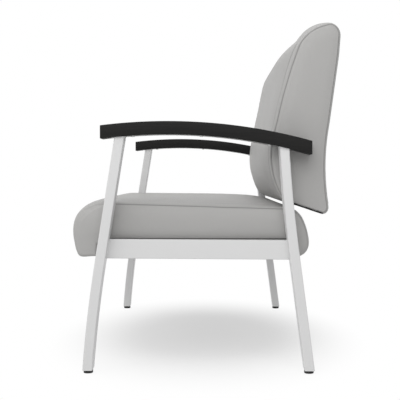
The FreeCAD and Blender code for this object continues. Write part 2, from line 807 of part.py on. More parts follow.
def backCavity(grow="0"):
    # room behind the foam slab, for the rails and the panel
    slab = f"(back_foam_depth - {grow})"
    reach = "back_panel_thickness * 4"
    return [
        (shift("back_lumbar_y", -1, slab), "back_lip_height"),
        (f"back_rear + {reach}", "back_lip_height"),
        (f"back_rear + {reach}", "back_rear_height - back_rail_thickness"),
        (shift("back_brow_y", 0, slab), "back_rear_height - back_rail_thickness"),
        (shift("back_chest_y", -1.05, slab), "back_chest_height - back_rail_thickness"),
        (shift("back_lumbar_top_y", -1.05, slab), "back_lumbar_top_height"),
        (shift("back_lumbar_y", -1, slab), "back_lumbar_height"),
    ]


def boltHoles(body, offset, diameter, length):
    for height in backBoltHeights:
        for side in sideNames:
            hole = sketchOn(body, "YZ_Plane", "BoltHole", f"{side} * ({offset})")
            cut(body, drawRing(hole, backBoltDepth(height), height, diameter), length)


def makeBackCover():
    body = bodyNamed("back_cover")
    loft(body, "AdditiveLoft", backStations("0", backCoverSteps))
    loft(body, "SubtractiveLoft", backStations("cover_thickness", backCoverSteps))
    window = backStrip("(-back_panel_thickness)", "(back_panel_thickness * 2)", "back_panel_base_height",
                       "back_rear_height")
    cut(body, draw(sketchOn(body, "YZ_Plane", "Window"), window), f"2 * ({backHalf} - back_panel_border)")
    boltHoles(body, backHalf, "bolt_diameter + 2 * clearance", "cover_thickness * 4")
    return body


def makeBackPanel():
    body = bodyNamed("back_panel")
    strip = backStrip("0", "back_panel_thickness", "back_panel_base_height + clearance",
                      "back_rear_height - clearance")
    width = f"2 * ({backHalf} - back_panel_border - clearance)"
    pad(body, draw(sketchOn(body, "YZ_Plane", "SideView"), strip), width)
    return body


def makeBackEnd(side):
    body = bodyNamed(f"back_end_{sideNames[side]}")
    pad(body, draw(sketchOn(body, "YZ_Plane", "SideView"), backEndOutline()), "back_end_thickness")
    for height in backBoltHeights:
        hole = drawRing(sketchOn(body, "YZ_Plane", "BoltHole"), backBoltDepth(height), height,
                        "bolt_diameter + 2 * clearance")
        cut(body, hole, "back_end_thickness * 2")
    place(body, across=f"{side} * ({endInner} + back_end_thickness / 2)")
    return body


# front face and top of each rail
backRails = {
    "back_top_rail": (shift("back_brow_y", -0.2, "back_foam_depth"),
                      "back_rear_height - back_rail_thickness"),
    "back_lumbar_rail": (shift("back_lumbar_y", -1, "back_foam_depth"), "back_lumbar_height"),
    "back_bottom_rail": (shift("back_lip_y", -1, "back_foam_depth"),
                         "back_lip_height + back_rail_height + 2 * clearance"),
}


def makeBackRail(name):
    body = bodyNamed(name)
    front, top = backRails[name]
    front = f"({front} + clearance)"
    top = f"({top} - clearance)"
    section = block((front, f"{top} - back_rail_height"), (f"{front} + back_rail_thickness", top))
    pad(body, draw(sketchOn(body, "YZ_Plane", "Section"), section), f"2 * ({endInner} - fit)")
    return body


def makeBackFoam():
    body = bodyNamed("back_foam")
    loft(body, "AdditiveLoft", backStations("(cover_thickness + clearance)", backFoamSteps))
    cavity = draw(sketchOn(body, "YZ_Plane", "Cavity"), backCavity("clearance"))
    cut(body, cavity, f"2 * ({endInner} + clearance)")
    strip = backStrip("(-back_panel_thickness)", "(back_panel_thickness + clearance)",
                      "back_panel_base_height - clearance", "back_rear_height + clearance")
    cut(body, draw(sketchOn(body, "YZ_Plane", "PanelRoom"), strip), "2 * frame_width")
    for side in sideNames:
        room = sketchOn(body, "YZ_Plane", "EndRoom", f"{side} * ({endInner} - clearance)")
        cut(body, draw(room, backEndOutline("clearance")), "back_end_thickness * 2", "One side", side > 0)
    boltHoles(body, endInner, "bolt_flats * 1.5", "bolt_flats")
    return body


def crosswise(body, side, across, height):
    # lays an upright piece along the width at a back bolt, pointing outwards
    turn(body, (0, side, 0), "90")
    place(body, f"{side} * ({across})", backBoltDepth(height), height)


def makeBackFasteners():
    bolts = []
    spacers = []
    bore = "(bolt_diameter / 2 + clearance)"
    for side in sideNames:
        for height in backBoltHeights:
            bolt = bodyNamed("back_bolt")
            head = draw(sketchOn(bolt, "XY_Plane", "Head"), hexagon("0", "0", "bolt_flats"))
            pad(bolt, head, "bolt_flats * head_share", "One side").Reversed = True
            shank = drawRing(sketchOn(bolt, "XY_Plane", "Shank"), "0", "0", "bolt_diameter")
            pad(bolt, shank, f"{innerFace} - {endInner} + bolt_reach", "One side")
            crosswise(bolt, side, endInner, height)
            bolts.append(bolt)
            spacer = bodyNamed("back_spacer")
            revolve(spacer, [(bore, "0"), ("spacer_diameter / 2", "0"),
                             ("spacer_diameter / 2", spacerLength), (bore, spacerLength)])
            crosswise(spacer, side, backHalf, height)
            spacers.append(spacer)
    return [group("back_bolts", bolts), group("back_spacers", spacers)]


for side in sideNames:
    for leg in (frontLeg, rearLeg):
        subParts.append(makeLeg(leg, side))
        subParts.append(makeLegPlug(leg, side))
        subParts.append(makeGlidePad(leg, side))
        subParts.append(makeGlideStud(leg, side))
    subParts.append(makeSideRail(side))
    subParts.append(makeArmCap(side))
    subParts.append(makeArmBar(side))
subParts.append(makeCrossRail("front_cross_rail", "front_cross_y"))
subParts.append(makeCrossRail("rear_cross_rail", "rear_cross_y"))
subParts.append(makeCentreBrace())
subParts.append(makeEndPlates())
subParts.append(makeSeatCover())
subParts.append(makeSeatFoam())
subParts.append(makeSeatBoard())
subParts.append(makeWoodRail("seat_front_rail", frontWood))
subParts.append(makeWoodRail("seat_rear_rail", rearWood))
subParts.append(makeDustCover())
subParts.append(makeBackCover())
subParts.append(makeBackFoam())
subParts.append(makeBackPanel())
for side in sideNames:
    subParts.append(makeBackEnd(side))
for name in backRails:
    subParts.append(makeBackRail(name))
subParts.extend(makeBackFasteners())

doc.recompute()
for item in doc.Objects:
    if {"Invalid", "Error"} & set(item.State):
        raise RuntimeError(f"{item.Label} failed: {item.State}")
for item in subParts:
    if item.Shape.isNull() or not item.Shape.isValid():
        raise RuntimeError(f"{item.Label} has no sound shape")

os.makedirs("parts", exist_ok=True)
for item in subParts:
    item.Shape.exportStep(f"parts/{item.Label}.step")
    print(item.Label, len(item.Shape.Solids), "solids", round(item.Shape.Volume), "mm3")
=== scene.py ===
import bmesh
import bpy
import json
import math
from mathutils import Matrix, Vector, geometry, noise


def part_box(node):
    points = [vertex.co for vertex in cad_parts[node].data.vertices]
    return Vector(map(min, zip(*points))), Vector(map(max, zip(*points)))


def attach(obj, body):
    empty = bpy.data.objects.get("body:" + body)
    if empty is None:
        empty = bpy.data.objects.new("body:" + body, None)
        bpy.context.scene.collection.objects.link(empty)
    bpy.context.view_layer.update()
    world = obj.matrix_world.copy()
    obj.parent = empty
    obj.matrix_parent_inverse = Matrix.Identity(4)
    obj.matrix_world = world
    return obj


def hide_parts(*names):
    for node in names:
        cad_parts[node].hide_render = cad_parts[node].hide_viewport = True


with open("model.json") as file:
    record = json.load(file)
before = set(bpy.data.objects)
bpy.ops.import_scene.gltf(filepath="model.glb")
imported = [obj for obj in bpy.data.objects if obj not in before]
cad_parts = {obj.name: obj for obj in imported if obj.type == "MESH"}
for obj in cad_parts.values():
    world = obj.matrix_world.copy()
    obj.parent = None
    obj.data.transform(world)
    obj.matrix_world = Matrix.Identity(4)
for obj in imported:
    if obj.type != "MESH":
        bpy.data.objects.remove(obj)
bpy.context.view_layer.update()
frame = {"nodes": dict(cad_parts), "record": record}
nodes = frame["nodes"]
scene = bpy.context.scene
sides = {"left": 1, "right": -1}
corners = [(end, side) for end in ("front", "rear") for side in sides]
perMetre = 1000  # outlines and covers are worked out in millimetres
facing = 0.99  # a face looks along an axis when its normal's share of it is above this
sharpEdge = math.radians(50)
print("frame loaded:", len(nodes), "nodes")


# shader sums

class Socket:
    def __init__(self, paint, link):
        self.paint = paint
        self.link = link

    def sum(self, operation, first, second):
        return self.paint.add("Math", {"operation": operation}, {0: first, 1: second})

    def __add__(self, other):
        return self.sum("ADD", self, other)

    def __sub__(self, other):
        return self.sum("SUBTRACT", self, other)

    def __rsub__(self, other):
        return self.sum("SUBTRACT", other, self)

    def __mul__(self, other):
        return self.sum("MULTIPLY", self, other)

    __radd__ = __add__
    __rmul__ = __mul__


class Paint:
    def __init__(self, name):
        self.material = bpy.data.materials.new(name)
        self.material.use_nodes = True
        self.tree = self.material.node_tree
        self.shader = self.tree.nodes["Principled BSDF"]
        self.place = self.add("TexCoord", {}, {}, "Object")

    def add(self, kind, settings, values, output=0):
        node = self.tree.nodes.new("ShaderNode" + kind)
        for key, setting in settings.items():
            if key == "stops":
                ramp = node.color_ramp
                for spot, colour in setting[len(ramp.elements):]:
                    ramp.elements.new(spot)
                for element, (spot, colour) in zip(ramp.elements, setting):
                    element.position = spot
                    element.color = (*colour, 1)
            else:
                setattr(node, key, setting)
        for key, value in values.items():
            self.feed(node.inputs[key], value)
        return Socket(self, node.outputs[output])

    def feed(self, socket, value):
        if isinstance(value, Socket):
            self.tree.links.new(value.link, socket)
        elif isinstance(value, tuple) and len(value) == 3 and socket.type == "RGBA":
            socket.default_value = (*value, 1)
        else:
            socket.default_value = value

    def mapped(self, scale, shift=(0, 0, 0)):
        return self.add("Mapping", {}, {"Vector": self.place, "Scale": scale, "Location": shift})

    def cloud(self, scale, detail=3, rough=0.5, where=None):
        return self.add("TexNoise", {}, {"Vector": where or self.place, "Scale": scale, "Detail": detail,
                                         "Roughness": rough})

    def cells(self, scale, feature="DISTANCE_TO_EDGE", where=None):
        return self.add("TexVoronoi", {"feature": feature}, {"Vector": where or self.place, "Scale": scale})

    def ramp(self, factor, *stops):
        return self.add("ValToRGB", {"stops": stops}, {"Fac": factor})

    def mix(self, factor, first, second):
        return self.add("Mix", {"data_type": "RGBA"}, {0: factor, 6: first, 7: second}, 2)

    def bump(self, height, depth, strength):
        return self.add("Bump", {}, {"Height": height, "Distance": depth, "Strength": strength})

    def shade(self, **values):
        words = {"colour": "Base Color", "rough": "Roughness", "metal": "Metallic", "normal": "Normal",
                 "gloss": "Specular IOR Level"}
        for name, value in values.items():
            self.feed(self.shader.inputs[words[name]], value)
        return self.material


def grey(level, warm=0.0):
    # a near-neutral colour, a little warmer where warm is above nought
    blueLoss = 1.6 * warm
    return (level * (1 + warm), level, level * (1 - blueLoss))


# finishes: a cell is about how often a pattern repeats in a metre, a depth is its bumps' height in metres

# seamShade is how dark the painted shade along seam lines and topstitch bands makes the vinyl
vinylLook = {
    "tone": 0.415, "warm": 0.012, "seamShade": 0.36, "rough": 0.47, "gloss": 0.42, "patchCell": 5,
    "mottleCell": 140, "wobbleCell": 300, "wobble": 0.0008, "grainCell": 760, "poreCell": 1900,
    "grainDepth": 0.00022,
}


def vinylFinish():
    paint = Paint("warmGreyVinyl")
    look = vinylLook
    tone, warm = look["tone"], look["warm"]
    seam = paint.add("Attribute", {"attribute_name": "seam"}, {}, "Fac")
    broad = paint.cloud(look["patchCell"], 2)
    fine = paint.cloud(look["mottleCell"], 3)
    pale = paint.mix(broad, grey(tone * 0.965, warm), grey(tone * 1.035, warm))
    mottled = paint.mix(0.25 * fine, pale, grey(tone * 0.86, warm))
    # the seam attribute darkens the vinyl along seam lines and topstitch bands: painted shade in those
    # creases
    colour = paint.mix(seam * 0.85, mottled, grey(tone * look["seamShade"], warm))
    shake = paint.add("TexNoise", {}, {"Vector": paint.place, "Scale": look["wobbleCell"], "Detail": 1}, 1)
    shift = paint.add("VectorMath", {"operation": "SCALE"}, {0: shake, "Scale": look["wobble"]})
    wobbled = paint.add("VectorMath", {"operation": "ADD"}, {0: paint.place, 1: shift})
    grain = paint.cells(look["grainCell"], where=wobbled)
    pebble = paint.ramp(grain, (0.0, grey(0)), (0.09, grey(0.75)), (0.3, grey(1)))
    pores = paint.cloud(look["poreCell"], 1)
    rough = look["rough"] + 0.10 * fine + 0.08 * seam - 0.05 * broad
    normal = paint.bump(pebble + 0.25 * pores, look["grainDepth"], 0.5)
    return paint.shade(colour=colour, rough=rough, normal=normal, gloss=look["gloss"])


paintLook = {"tone": 0.725, "rough": 0.34, "gloss": 0.5, "patchCell": 7, "speckCell": 900, "peelCell": 420,
             "peelDepth": 0.00008}


def paintFinish():
    paint = Paint("whiteFramePaint")
    look = paintLook
    tone = look["tone"]
    broad = paint.cloud(look["patchCell"], 2)
    speck = paint.cloud(look["speckCell"], 2)
    colour = paint.mix(broad, grey(tone * 0.97), grey(tone * 1.03))
    colour = paint.mix(0.12 * speck, colour, grey(tone * 0.8))
    peel = paint.cloud(look["peelCell"], 2)
    rough = look["rough"] + 0.10 * speck + 0.05 * broad
    normal = paint.bump(peel, look["peelDepth"], 0.6)
    return paint.shade(colour=colour, rough=rough, normal=normal, gloss=look["gloss"])


# the arm's grain runs from front to rear, so its patterns repeat slowly that way
armLook = {
    "dark": 0.005, "light": 0.012, "rough": 0.42, "gloss": 0.16, "streakCells": (230, 7, 230),
    "bandCells": (40, 2.2, 40), "bandShift": (3, 1, 2), "poreCells": (1500, 34, 1500), "grainDepth": 0.00012,
}


def armFinish():
    paint = Paint("blackStainedWood")
    look = armLook
    streak = paint.cloud(1, 5, 0.6, paint.mapped(look["streakCells"]))
    slow = paint.cloud(1, 2, 0.5, paint.mapped(look["bandCells"], look["bandShift"]))
    hollow = paint.cloud(1, 2, 0.5, paint.mapped(look["poreCells"]))
    pore = paint.ramp(hollow, (0.36, grey(0)), (0.52, grey(1)))
    tone = streak * 0.6 + slow * 0.4
    colour = paint.ramp(tone, (0.32, grey(look["dark"], 0.02)), (0.68, grey(look["light"], 0.03)))
    colour = paint.mix(0.5 * (1 - pore), colour, grey(look["dark"] * 0.6))
    rough = look["rough"] + 0.16 * streak + 0.08 * (1 - pore)
    normal = paint.bump(pore * 0.6 + streak * 0.5, look["grainDepth"], 0.6)
    return paint.shade(colour=colour, rough=rough, normal=normal, gloss=look["gloss"])


nylonLook = {"rough": 0.46, "gloss": 0.4, "patchCell": 60, "sparkCell": 1600, "sparkDepth": 0.00006}


def nylonFinish(name, tone):
    paint = Paint(name)
    look = nylonLook
    broad = paint.cloud(look["patchCell"], 2)
    spark = paint.cloud(look["sparkCell"], 2)
    colour = paint.mix(broad, grey(tone * 0.85), grey(tone * 1.25))
    rough = look["rough"] + 0.14 * spark
    normal = paint.bump(spark, look["sparkDepth"], 0.6)
    return paint.shade(colour=colour, rough=rough, normal=normal, gloss=look["gloss"])


zincLook = {"dull": (0.46, 0.47, 0.47), "bright": (0.62, 0.62, 0.60), "rough": 0.26, "metal": 0.9,
            "flakeCell": 420, "cloudCell": 90, "cloudDepth": 0.00005}


def zincFinish():
    paint = Paint("zincPlate")
    look = zincLook
    flake = paint.cells(look["flakeCell"], "F1")
    cloud = paint.cloud(look["cloudCell"], 3)
    colour = paint.mix(cloud, look["dull"], look["bright"])
    rough = look["rough"] + 0.16 * flake + 0.12 * cloud
    normal = paint.bump(cloud, look["cloudDepth"], 0.4)
    return paint.shade(colour=colour, rough=rough, metal=look["metal"], normal=normal)


dustLook = {"dark": 0.010, "light": 0.036, "rough": 0.78, "gloss": 0.2, "weaveCell": 420, "lintCell": 260,
            "weaveDepth": 0.0002}


def dustFinish():
    paint = Paint("blackDustCloth")
    look = dustLook
    weave = {"Vector": paint.place, "Scale": look["weaveCell"], "Distortion": 1.5, "Detail": 1}
    across = paint.add("TexWave", {"bands_direction": "X"}, weave)
    along = paint.add("TexWave", {"bands_direction": "Y"}, weave)
    web = across * along
    lint = paint.cloud(look["lintCell"], 3)
    colour = paint.mix(web * 0.6 + lint * 0.4, grey(look["dark"]), grey(look["light"]))
    rough = look["rough"] + 0.14 * lint
    normal = paint.bump(web, look["weaveDepth"], 0.7)
    return paint.shade(colour=colour, rough=rough, normal=normal, gloss=look["gloss"])


timberLook = {"rough": 0.62, "fleck": 6, "grainDepth": 0.0002}  # flecks are this many times finer than rings


def timberFinish(name, pale, dark, ringCells):
    paint = Paint(name)
    look = timberLook
    ring = paint.cloud(1, 4, 0.55, paint.mapped(ringCells))
    fleck = paint.cloud(1, 2, 0.5, paint.mapped(tuple(look["fleck"] * cell for cell in ringCells)))
    colour = paint.mix(ring, dark, pale)
    colour = paint.mix(0.3 * fleck, colour, tuple(0.6 * level for level in dark))
    rough = look["rough"] + 0.15 * fleck
    return paint.shade(colour=colour, rough=rough, normal=paint.bump(ring + fleck, look["grainDepth"], 0.5))


foamLook = {"pale": (0.86, 0.82, 0.66), "deep": (0.62, 0.57, 0.42), "rough": 0.85, "gloss": 0.1,
            "poreCell": 800, "poreDepth": 0.0005}


def foamFinish():
    paint = Paint("openCellFoam")
    look = foamLook
    pore = paint.cells(look["poreCell"], "F1")
    colour = paint.mix(pore, look["pale"], look["deep"])
    normal = paint.bump(pore, look["poreDepth"], 0.8)
    return paint.shade(colour=colour, rough=look["rough"] + 0.1 * pore, normal=normal, gloss=look["gloss"])


threadLook = {"dark": 0.27, "light": 0.40, "warm": 0.01, "rough": 0.55, "twistCell": 900,
              "twistDepth": 0.0001}


def threadFinish():
    paint = Paint("greyThread")
    look = threadLook
    twist = paint.add("TexWave", {"bands_direction": "DIAGONAL"}, {"Vector": paint.place,
                                                                   "Scale": look["twistCell"]})
    colour = paint.mix(twist, grey(look["dark"], look["warm"]), grey(look["light"], look["warm"]))
    normal = paint.bump(twist, look["twistDepth"], 0.6)
    return paint.shade(colour=colour, rough=look["rough"] + 0.15 * twist, normal=normal)


finishes = {
    "vinyl": vinylFinish(),
    "frame_paint": paintFinish(),
    "arm_wood": armFinish(),
    "glide_plastic": nylonFinish("blackNylon", 0.006),
    "plug_plastic": nylonFinish("blackPlug", 0.022),
    "spacer_plastic": nylonFinish("greyNylon", 0.30),
    "plain_steel": zincFinish(),
    "dust_cloth": dustFinish(),
    "plywood": timberFinish("plywood", (0.62, 0.46, 0.29), (0.42, 0.28, 0.16), (9, 30, 240)),
    "hardwood": timberFinish("hardwoodRail", (0.56, 0.41, 0.26), (0.40, 0.27, 0.16), (4, 90, 90)),
    "foam": foamFinish(),
    "thread": threadFinish(),
}
for part in frame["record"]["subparts"]:
    mesh = nodes[part["node"]].data
    mesh.materials.clear()
    mesh.materials.append(finishes[part["material_slot"]])
print("finishes:", len(finishes))


# working with pieces

def clearAll():
    if bpy.context.object and bpy.context.object.mode != "OBJECT":
        bpy.ops.object.mode_set(mode="OBJECT")
    bpy.ops.object.select_all(action="DESELECT")


def pick(piece):
    clearAll()
    piece.select_set(True)
    bpy.context.view_layer.objects.active = piece


def named(name):
    piece = bpy.context.object
    piece.name = name
    piece.data.name = name
    return piece


def settle(piece):
    # place and size go into the mesh
    pick(piece)
    bpy.ops.object.transform_apply(location=True, rotation=True, scale=True)


def block(name, size, place):
    clearAll()
    bpy.ops.mesh.primitive_cube_add(size=1, location=place)
    piece = named(name)
    piece.scale = size
    settle(piece)
    return piece


def cylinder(name, count, radius, tall, place):
    clearAll()
    bpy.ops.mesh.primitive_cylinder_add(vertices=count, radius=radius, depth=tall, location=place)
    piece = named(name)
    settle(piece)
    return piece


def edit(piece):
    # into edit mode, with the whole mesh selected
    pick(piece)
    bpy.ops.object.mode_set(mode="EDIT")
    bpy.ops.mesh.select_all(action="SELECT")


def endEdit():
    bpy.ops.object.mode_set(mode="OBJECT")


def choose(piece, kind, wanted):
    # in edit mode, selects the verts, edges or faces that wanted says yes to
    bpy.ops.mesh.select_mode(type=kind)
    bpy.ops.mesh.select_all(action="DESELECT")
    mesh = bmesh.from_edit_mesh(piece.data)
    items = {"VERT": mesh.verts, "EDGE": mesh.edges, "FACE": mesh.faces}[kind]
    for item in items:
        item.select_set(bool(wanted(item)))
    mesh.select_flush_mode()
    bmesh.update_edit_mesh(piece.data)


def use(piece, kind, **settings):
    pick(piece)
    tool = piece.modifiers.new(kind.title(), kind)
    for key, value in settings.items():
        setattr(tool, key, value)
    bpy.ops.object.modifier_apply(modifier=tool.name)


def soften(piece, width, steps):
    # rounds the edges that are sharp
    use(piece, "BEVEL", width=width, segments=steps, limit_method="ANGLE", angle_limit=sharpEdge)


def smooth(piece, angle):
    pick(piece)
    bpy.ops.object.shade_smooth_by_angle(angle=math.radians(angle))


def hand(piece, body, slot, stands=(), finish=None):
    piece.data.materials.clear()
    piece.data.materials.append(finishes[finish or slot])
    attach(piece, body)
    if stands:
        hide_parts(*stands)


def pieceFrom(mesh, name):
    data = bpy.data.meshes.new(name)
    mesh.to_mesh(data)
    mesh.free()
    piece = bpy.data.objects.new(name, data)
    scene.collection.objects.link(piece)
    return piece


def copyOf(piece, name):
    twin = piece.copy()
    twin.data = piece.data.copy()
    twin.name = name
    twin.data.name = name
    scene.collection.objects.link(twin)
    return twin


def joined(pieces, name):
    clearAll()
    for piece in pieces:
        piece.select_set(True)
    bpy.context.view_layer.objects.active = pieces[0]
    bpy.ops.object.join()
    return named(name)


# outlines: corners are (depth, height) or (depth, height, radius of the arc that leaves them),
# in millimetres, and a radius below nought bends inwards

def arcRun(start, end, radius, step):
    chord = end - start
    if radius is None:
        count = max(1, round(chord.length / step))
        return [start.lerp(end, number / count) for number in range(count)]
    way = 1 if radius > 0 else -1
    left = Vector((-chord.y, chord.x)).normalized() * way
    rise = math.sqrt(max(0.0, radius ** 2 - (chord.length / 2) ** 2))
    centre = (start + end) / 2 + left * rise
    first = math.atan2(start.y - centre.y, start.x - centre.x)
    sweep = 2 * math.asin(min(1.0, chord.length / 2 / abs(radius))) * way
    count = max(2, round(abs(sweep * radius) / step))
    angles = [first + sweep * number / count for number in range(count)]
    return [centre + Vector((math.cos(angle), math.sin(angle))) * abs(radius) for angle in angles]


def outlineOf(shape, step):
    points = []
    marks = []
    for number, corner in enumerate(shape):
        following = shape[(number + 1) % len(shape)]
        radius = corner[2] if len(corner) > 2 else None
        marks.append(len(points))
        points.extend(arcRun(Vector(corner[:2]), Vector(following[:2]), radius, step))
    return points, marks


def eased(values, rounds):
    count = len(values)
    for turn in range(rounds):
        values = [0.25 * values[number - 1] + 0.5 * values[number] + 0.25 * values[(number + 1) % count]
                  for number in range(count)]
    return values


def normalsOf(points, rounds):
    count = len(points)
    plain = []
    for number in range(count):
        along = (points[(number + 1) % count] - points[number - 1]).normalized()
        plain.append(Vector((along.y, -along.x)))
    softened = [eased([normal[axis] for normal in plain], rounds) for axis in (0, 1)]
    return [Vector(pair).normalized() for pair in zip(*softened)]


def markSpot(mark, marks, count):
    # a corner's number, or part of the way to the next one, as a place among the outline's points
    edges = marks + [count]
    start = edges[int(mark)]
    following = edges[min(int(mark) + 1, len(marks))]
    return start + (mark % 1) * (following - start)


def spread(table, marks, count, rounds):
    # values at the outline's corners run smoothly from one to the next
    knots = sorted((markSpot(mark, marks, count), value) for mark, value in table.items())
    knots = [(knots[-1][0] - count, knots[-1][1])] + knots + [(knots[0][0] + count, knots[0][1])]
    values = []
    for spot in range(count):
        for (low, first), (high, second) in zip(knots, knots[1:]):
            if low <= spot <= high:
                values.append(first + (second - first) * (spot - low) / max(high - low, 0.001))
                break
    return eased(values, rounds)


def dip(distance, middle, width):
    return math.exp(-((distance - middle) / width) ** 2)


# seat and back: a flat end panel rolls over to a seam, then come a row of topstitching and the main panel.
# Along the outline, crown, drawn and round give millimetres at its corners or part of the way to the next
# one, seam where on the roll the end panel is sewn on, sewn how plain that seam is, held how fast the cover
# is pinned, and gather how much it is folded. under, stitched and window run from one corner to another.

coverShape = {
    "rollRings": 11, "nearRings": (0, 1.5, 3.5, 6, 9, 12.5, 16.5),
    "bandRings": (-6, -3.6, -1.8, 0, 1.8, 3.6, 6, 11), "bandDark": 0.75, "bandBlur": 4.2, "pinned": 1.6,
    "puckerWide": 14, "puckerLong": 24, "puckerStep": 40, "foldGap": 1.25, "foldLean": 0.4, "bedSlope": 2,
    "seamSlack": 0.01, "easeOutline": 2, "easeTable": 3,
}
seatShape = {
    "name": "seatCushion", "half": 520.0, "step": 10.0, "roll": 8.0, "seamDeep": 3.2, "seamWide": 1.6,
    "bandAt": 34.0, "bandDeep": 2.4, "bandWide": 2.6, "power": 7, "pucker": 0.8, "folds": 0,
    "panelStep": 14.0,
    "outline": [(-330.0, 301.0), (-288.0, 301.0), (-288.0, 338.0), (206.0, 338.0), (206.0, 301.0),
                (229.0, 301.0, 46), (275.0, 347.0, 150), (257.0, 411.0, 56), (206.0, 438.0, 9000),
                (-268.4, 451.0, 86), (-354.4, 365.0, 130), (-342.4, 313.0, 12)],
    "crown": {0: 0, 0.5: 2, 1: 2.6, 1.4: 0, 5: 0, 6: 1, 7: 4, 8: 6, 8.12: 12.5, 8.33: 14, 8.67: 10, 9: 6.5,
              9.25: 6, 9.5: 11, 10: 3, 11: 0},
    "drawn": {0: -2, 0.5: 1.2, 1: 2.8, 1.4: 0, 4.6: 0, 5: 0, 5.5: -8, 6: 1.5, 7: 4, 8: 7, 8.33: 10, 8.67: 9,
              9: 6.5, 9.3: 4, 9.5: -1, 10: -3.5, 10.5: -3.5, 11: 0},
    "round": {0: 8, 5: 10, 5.5: 20, 6.6: 14, 7.5: 8, 9: 9, 9.4: 20, 10: 28, 10.8: 18, 11.4: 9},
    "seam": {0: 0.56},
    "sewn": {0: 0, 5.5: 0.2, 7: 0.8, 8: 1, 8.9: 1, 9.3: 0.25, 9.6: 0, 11: 0},
    "held": {0: 1, 5.4: 1, 6: 0, 10.6: 0, 11.2: 1},
    "gather": {0: 0}, "under": (2, 2), "stitched": (7.6, 9.2),
    "pressure": 3.5, "most": 2.6, "endMost": 5.5, "fill": 0.92,
}
backShape = {
    "name": "backCushion", "half": 519.0, "step": 10.0, "roll": 9.0, "seamDeep": 3.4, "seamWide": 1.6,
    "bandAt": 24.0, "bandDeep": 2.4, "bandWide": 2.6, "power": 5, "pucker": 0.8, "folds": 0.9,
    "panelStep": 14.0,
    "outline": [(207.0, 450.0), (311.0, 413.5, 18), (326.4, 432.0, -640), (327.5, 653.0), (351.5, 830.0, 420),
                (354.4, 882.0, 36), (331.0, 916.0, 220), (304.6, 911.0, 93), (238.6, 843.0, 1350),
                (184.6, 652.0, 310), (170.6, 560.0, 208)],
    "crown": {0: 7, 0.3: 1, 1: 0, 5: 0, 5.6: 12, 6: 32, 7: 33, 7.5: 5, 8: 33, 8.5: 20, 9: 16, 10: 11,
              10.6: 9},
    "drawn": {0: 0, 5: 0, 5.5: -6, 6: -1.5, 7: 0},
    "round": {0: 11, 0.5: 10, 1: 9, 6: 9, 8: 10, 10: 12},
    "seam": {0: 0.64, 0.4: 0.6, 1: 0.36, 5: 0.36, 6: 0.6, 8: 0.62, 10: 0.66},
    "sewn": {0: 1, 1: 0.7, 5: 0.7, 6: 1},
    "held": {0.2: 0, 0.6: 1, 5: 1, 5.8: 0},
    "gather": {0: 1, 0.12: 0.5, 0.3: 0, 10.3: 0, 10.7: 0.6}, "under": (0.04, 0.99), "stitched": (6.1, 11),
    "pressure": 3.5, "most": 2.6, "endMost": 3.6, "fill": 0.85,
    "window": (2.02, 4.99), "windowDeep": 9.0,  # the bed that the outer back lies in
}


def rollStations(shape):
    # the rings from the end panel's edge: shares of the roll below nought, then millimetres past it
    count = coverShape["rollRings"]
    stations = [-1 + number / count for number in range(count)]
    stations += coverShape["nearRings"]
    stations += [shape["bandAt"] + step for step in coverShape["bandRings"]]
    return stations


def past(station, rollSize):
    # millimetres along the cover, from the roll's end
    return station if station > 0 else station * rollSize * math.pi / 2


def coverSpot(shape, station, crown, drawn, rollSize, seam, sewn):
    # where a ring crosses the outline's point: how far across and out, and how near its seam line and
    # topstitch band lie, a weight that pins the cover and darkens it as painted shade
    half, plain, band = shape["half"], shape["roll"], shape["bandAt"]
    angle = math.radians(90 * (1 + min(station, 0)))
    if station >= 0:
        across = half - plain - station - (rollSize - plain) * max(0.0, 1 - station / band)
    else:
        across = half - rollSize * (1 - math.cos(angle))
    out = -rollSize * (1 - math.sin(angle)) - drawn + crown * (1 - (across / half) ** shape["power"])
    fromSeam = past(station, rollSize) - past(seam - 1, rollSize)
    seamLine = sewn * dip(fromSeam, 0, shape["seamWide"])
    bandLine = sewn * dip(station, band, shape["bandWide"])
    bandShade = coverShape["bandDark"] * sewn * dip(station, band, coverShape["bandBlur"])
    sunk = shape["seamDeep"] * seamLine + shape["bandDeep"] * bandLine
    return across - sunk * math.cos(angle), out - sunk * math.sin(angle), max(seamLine, bandShade)


def coverRows(shape, stations):
    # each ring's side of the middle and its station, from one end panel to the other
    half = shape["half"] - shape["roll"]
    reach = half - stations[-1]
    plain = int(2 * reach / shape["panelStep"])
    rows = [(-1, station) for station in stations]
    for number in range(1, plain):
        place = -reach + 2 * reach * number / plain
        rows.append((1 if place > 0 else -1, half - abs(place)))
    return rows + [(1, station) for station in reversed(stations)]


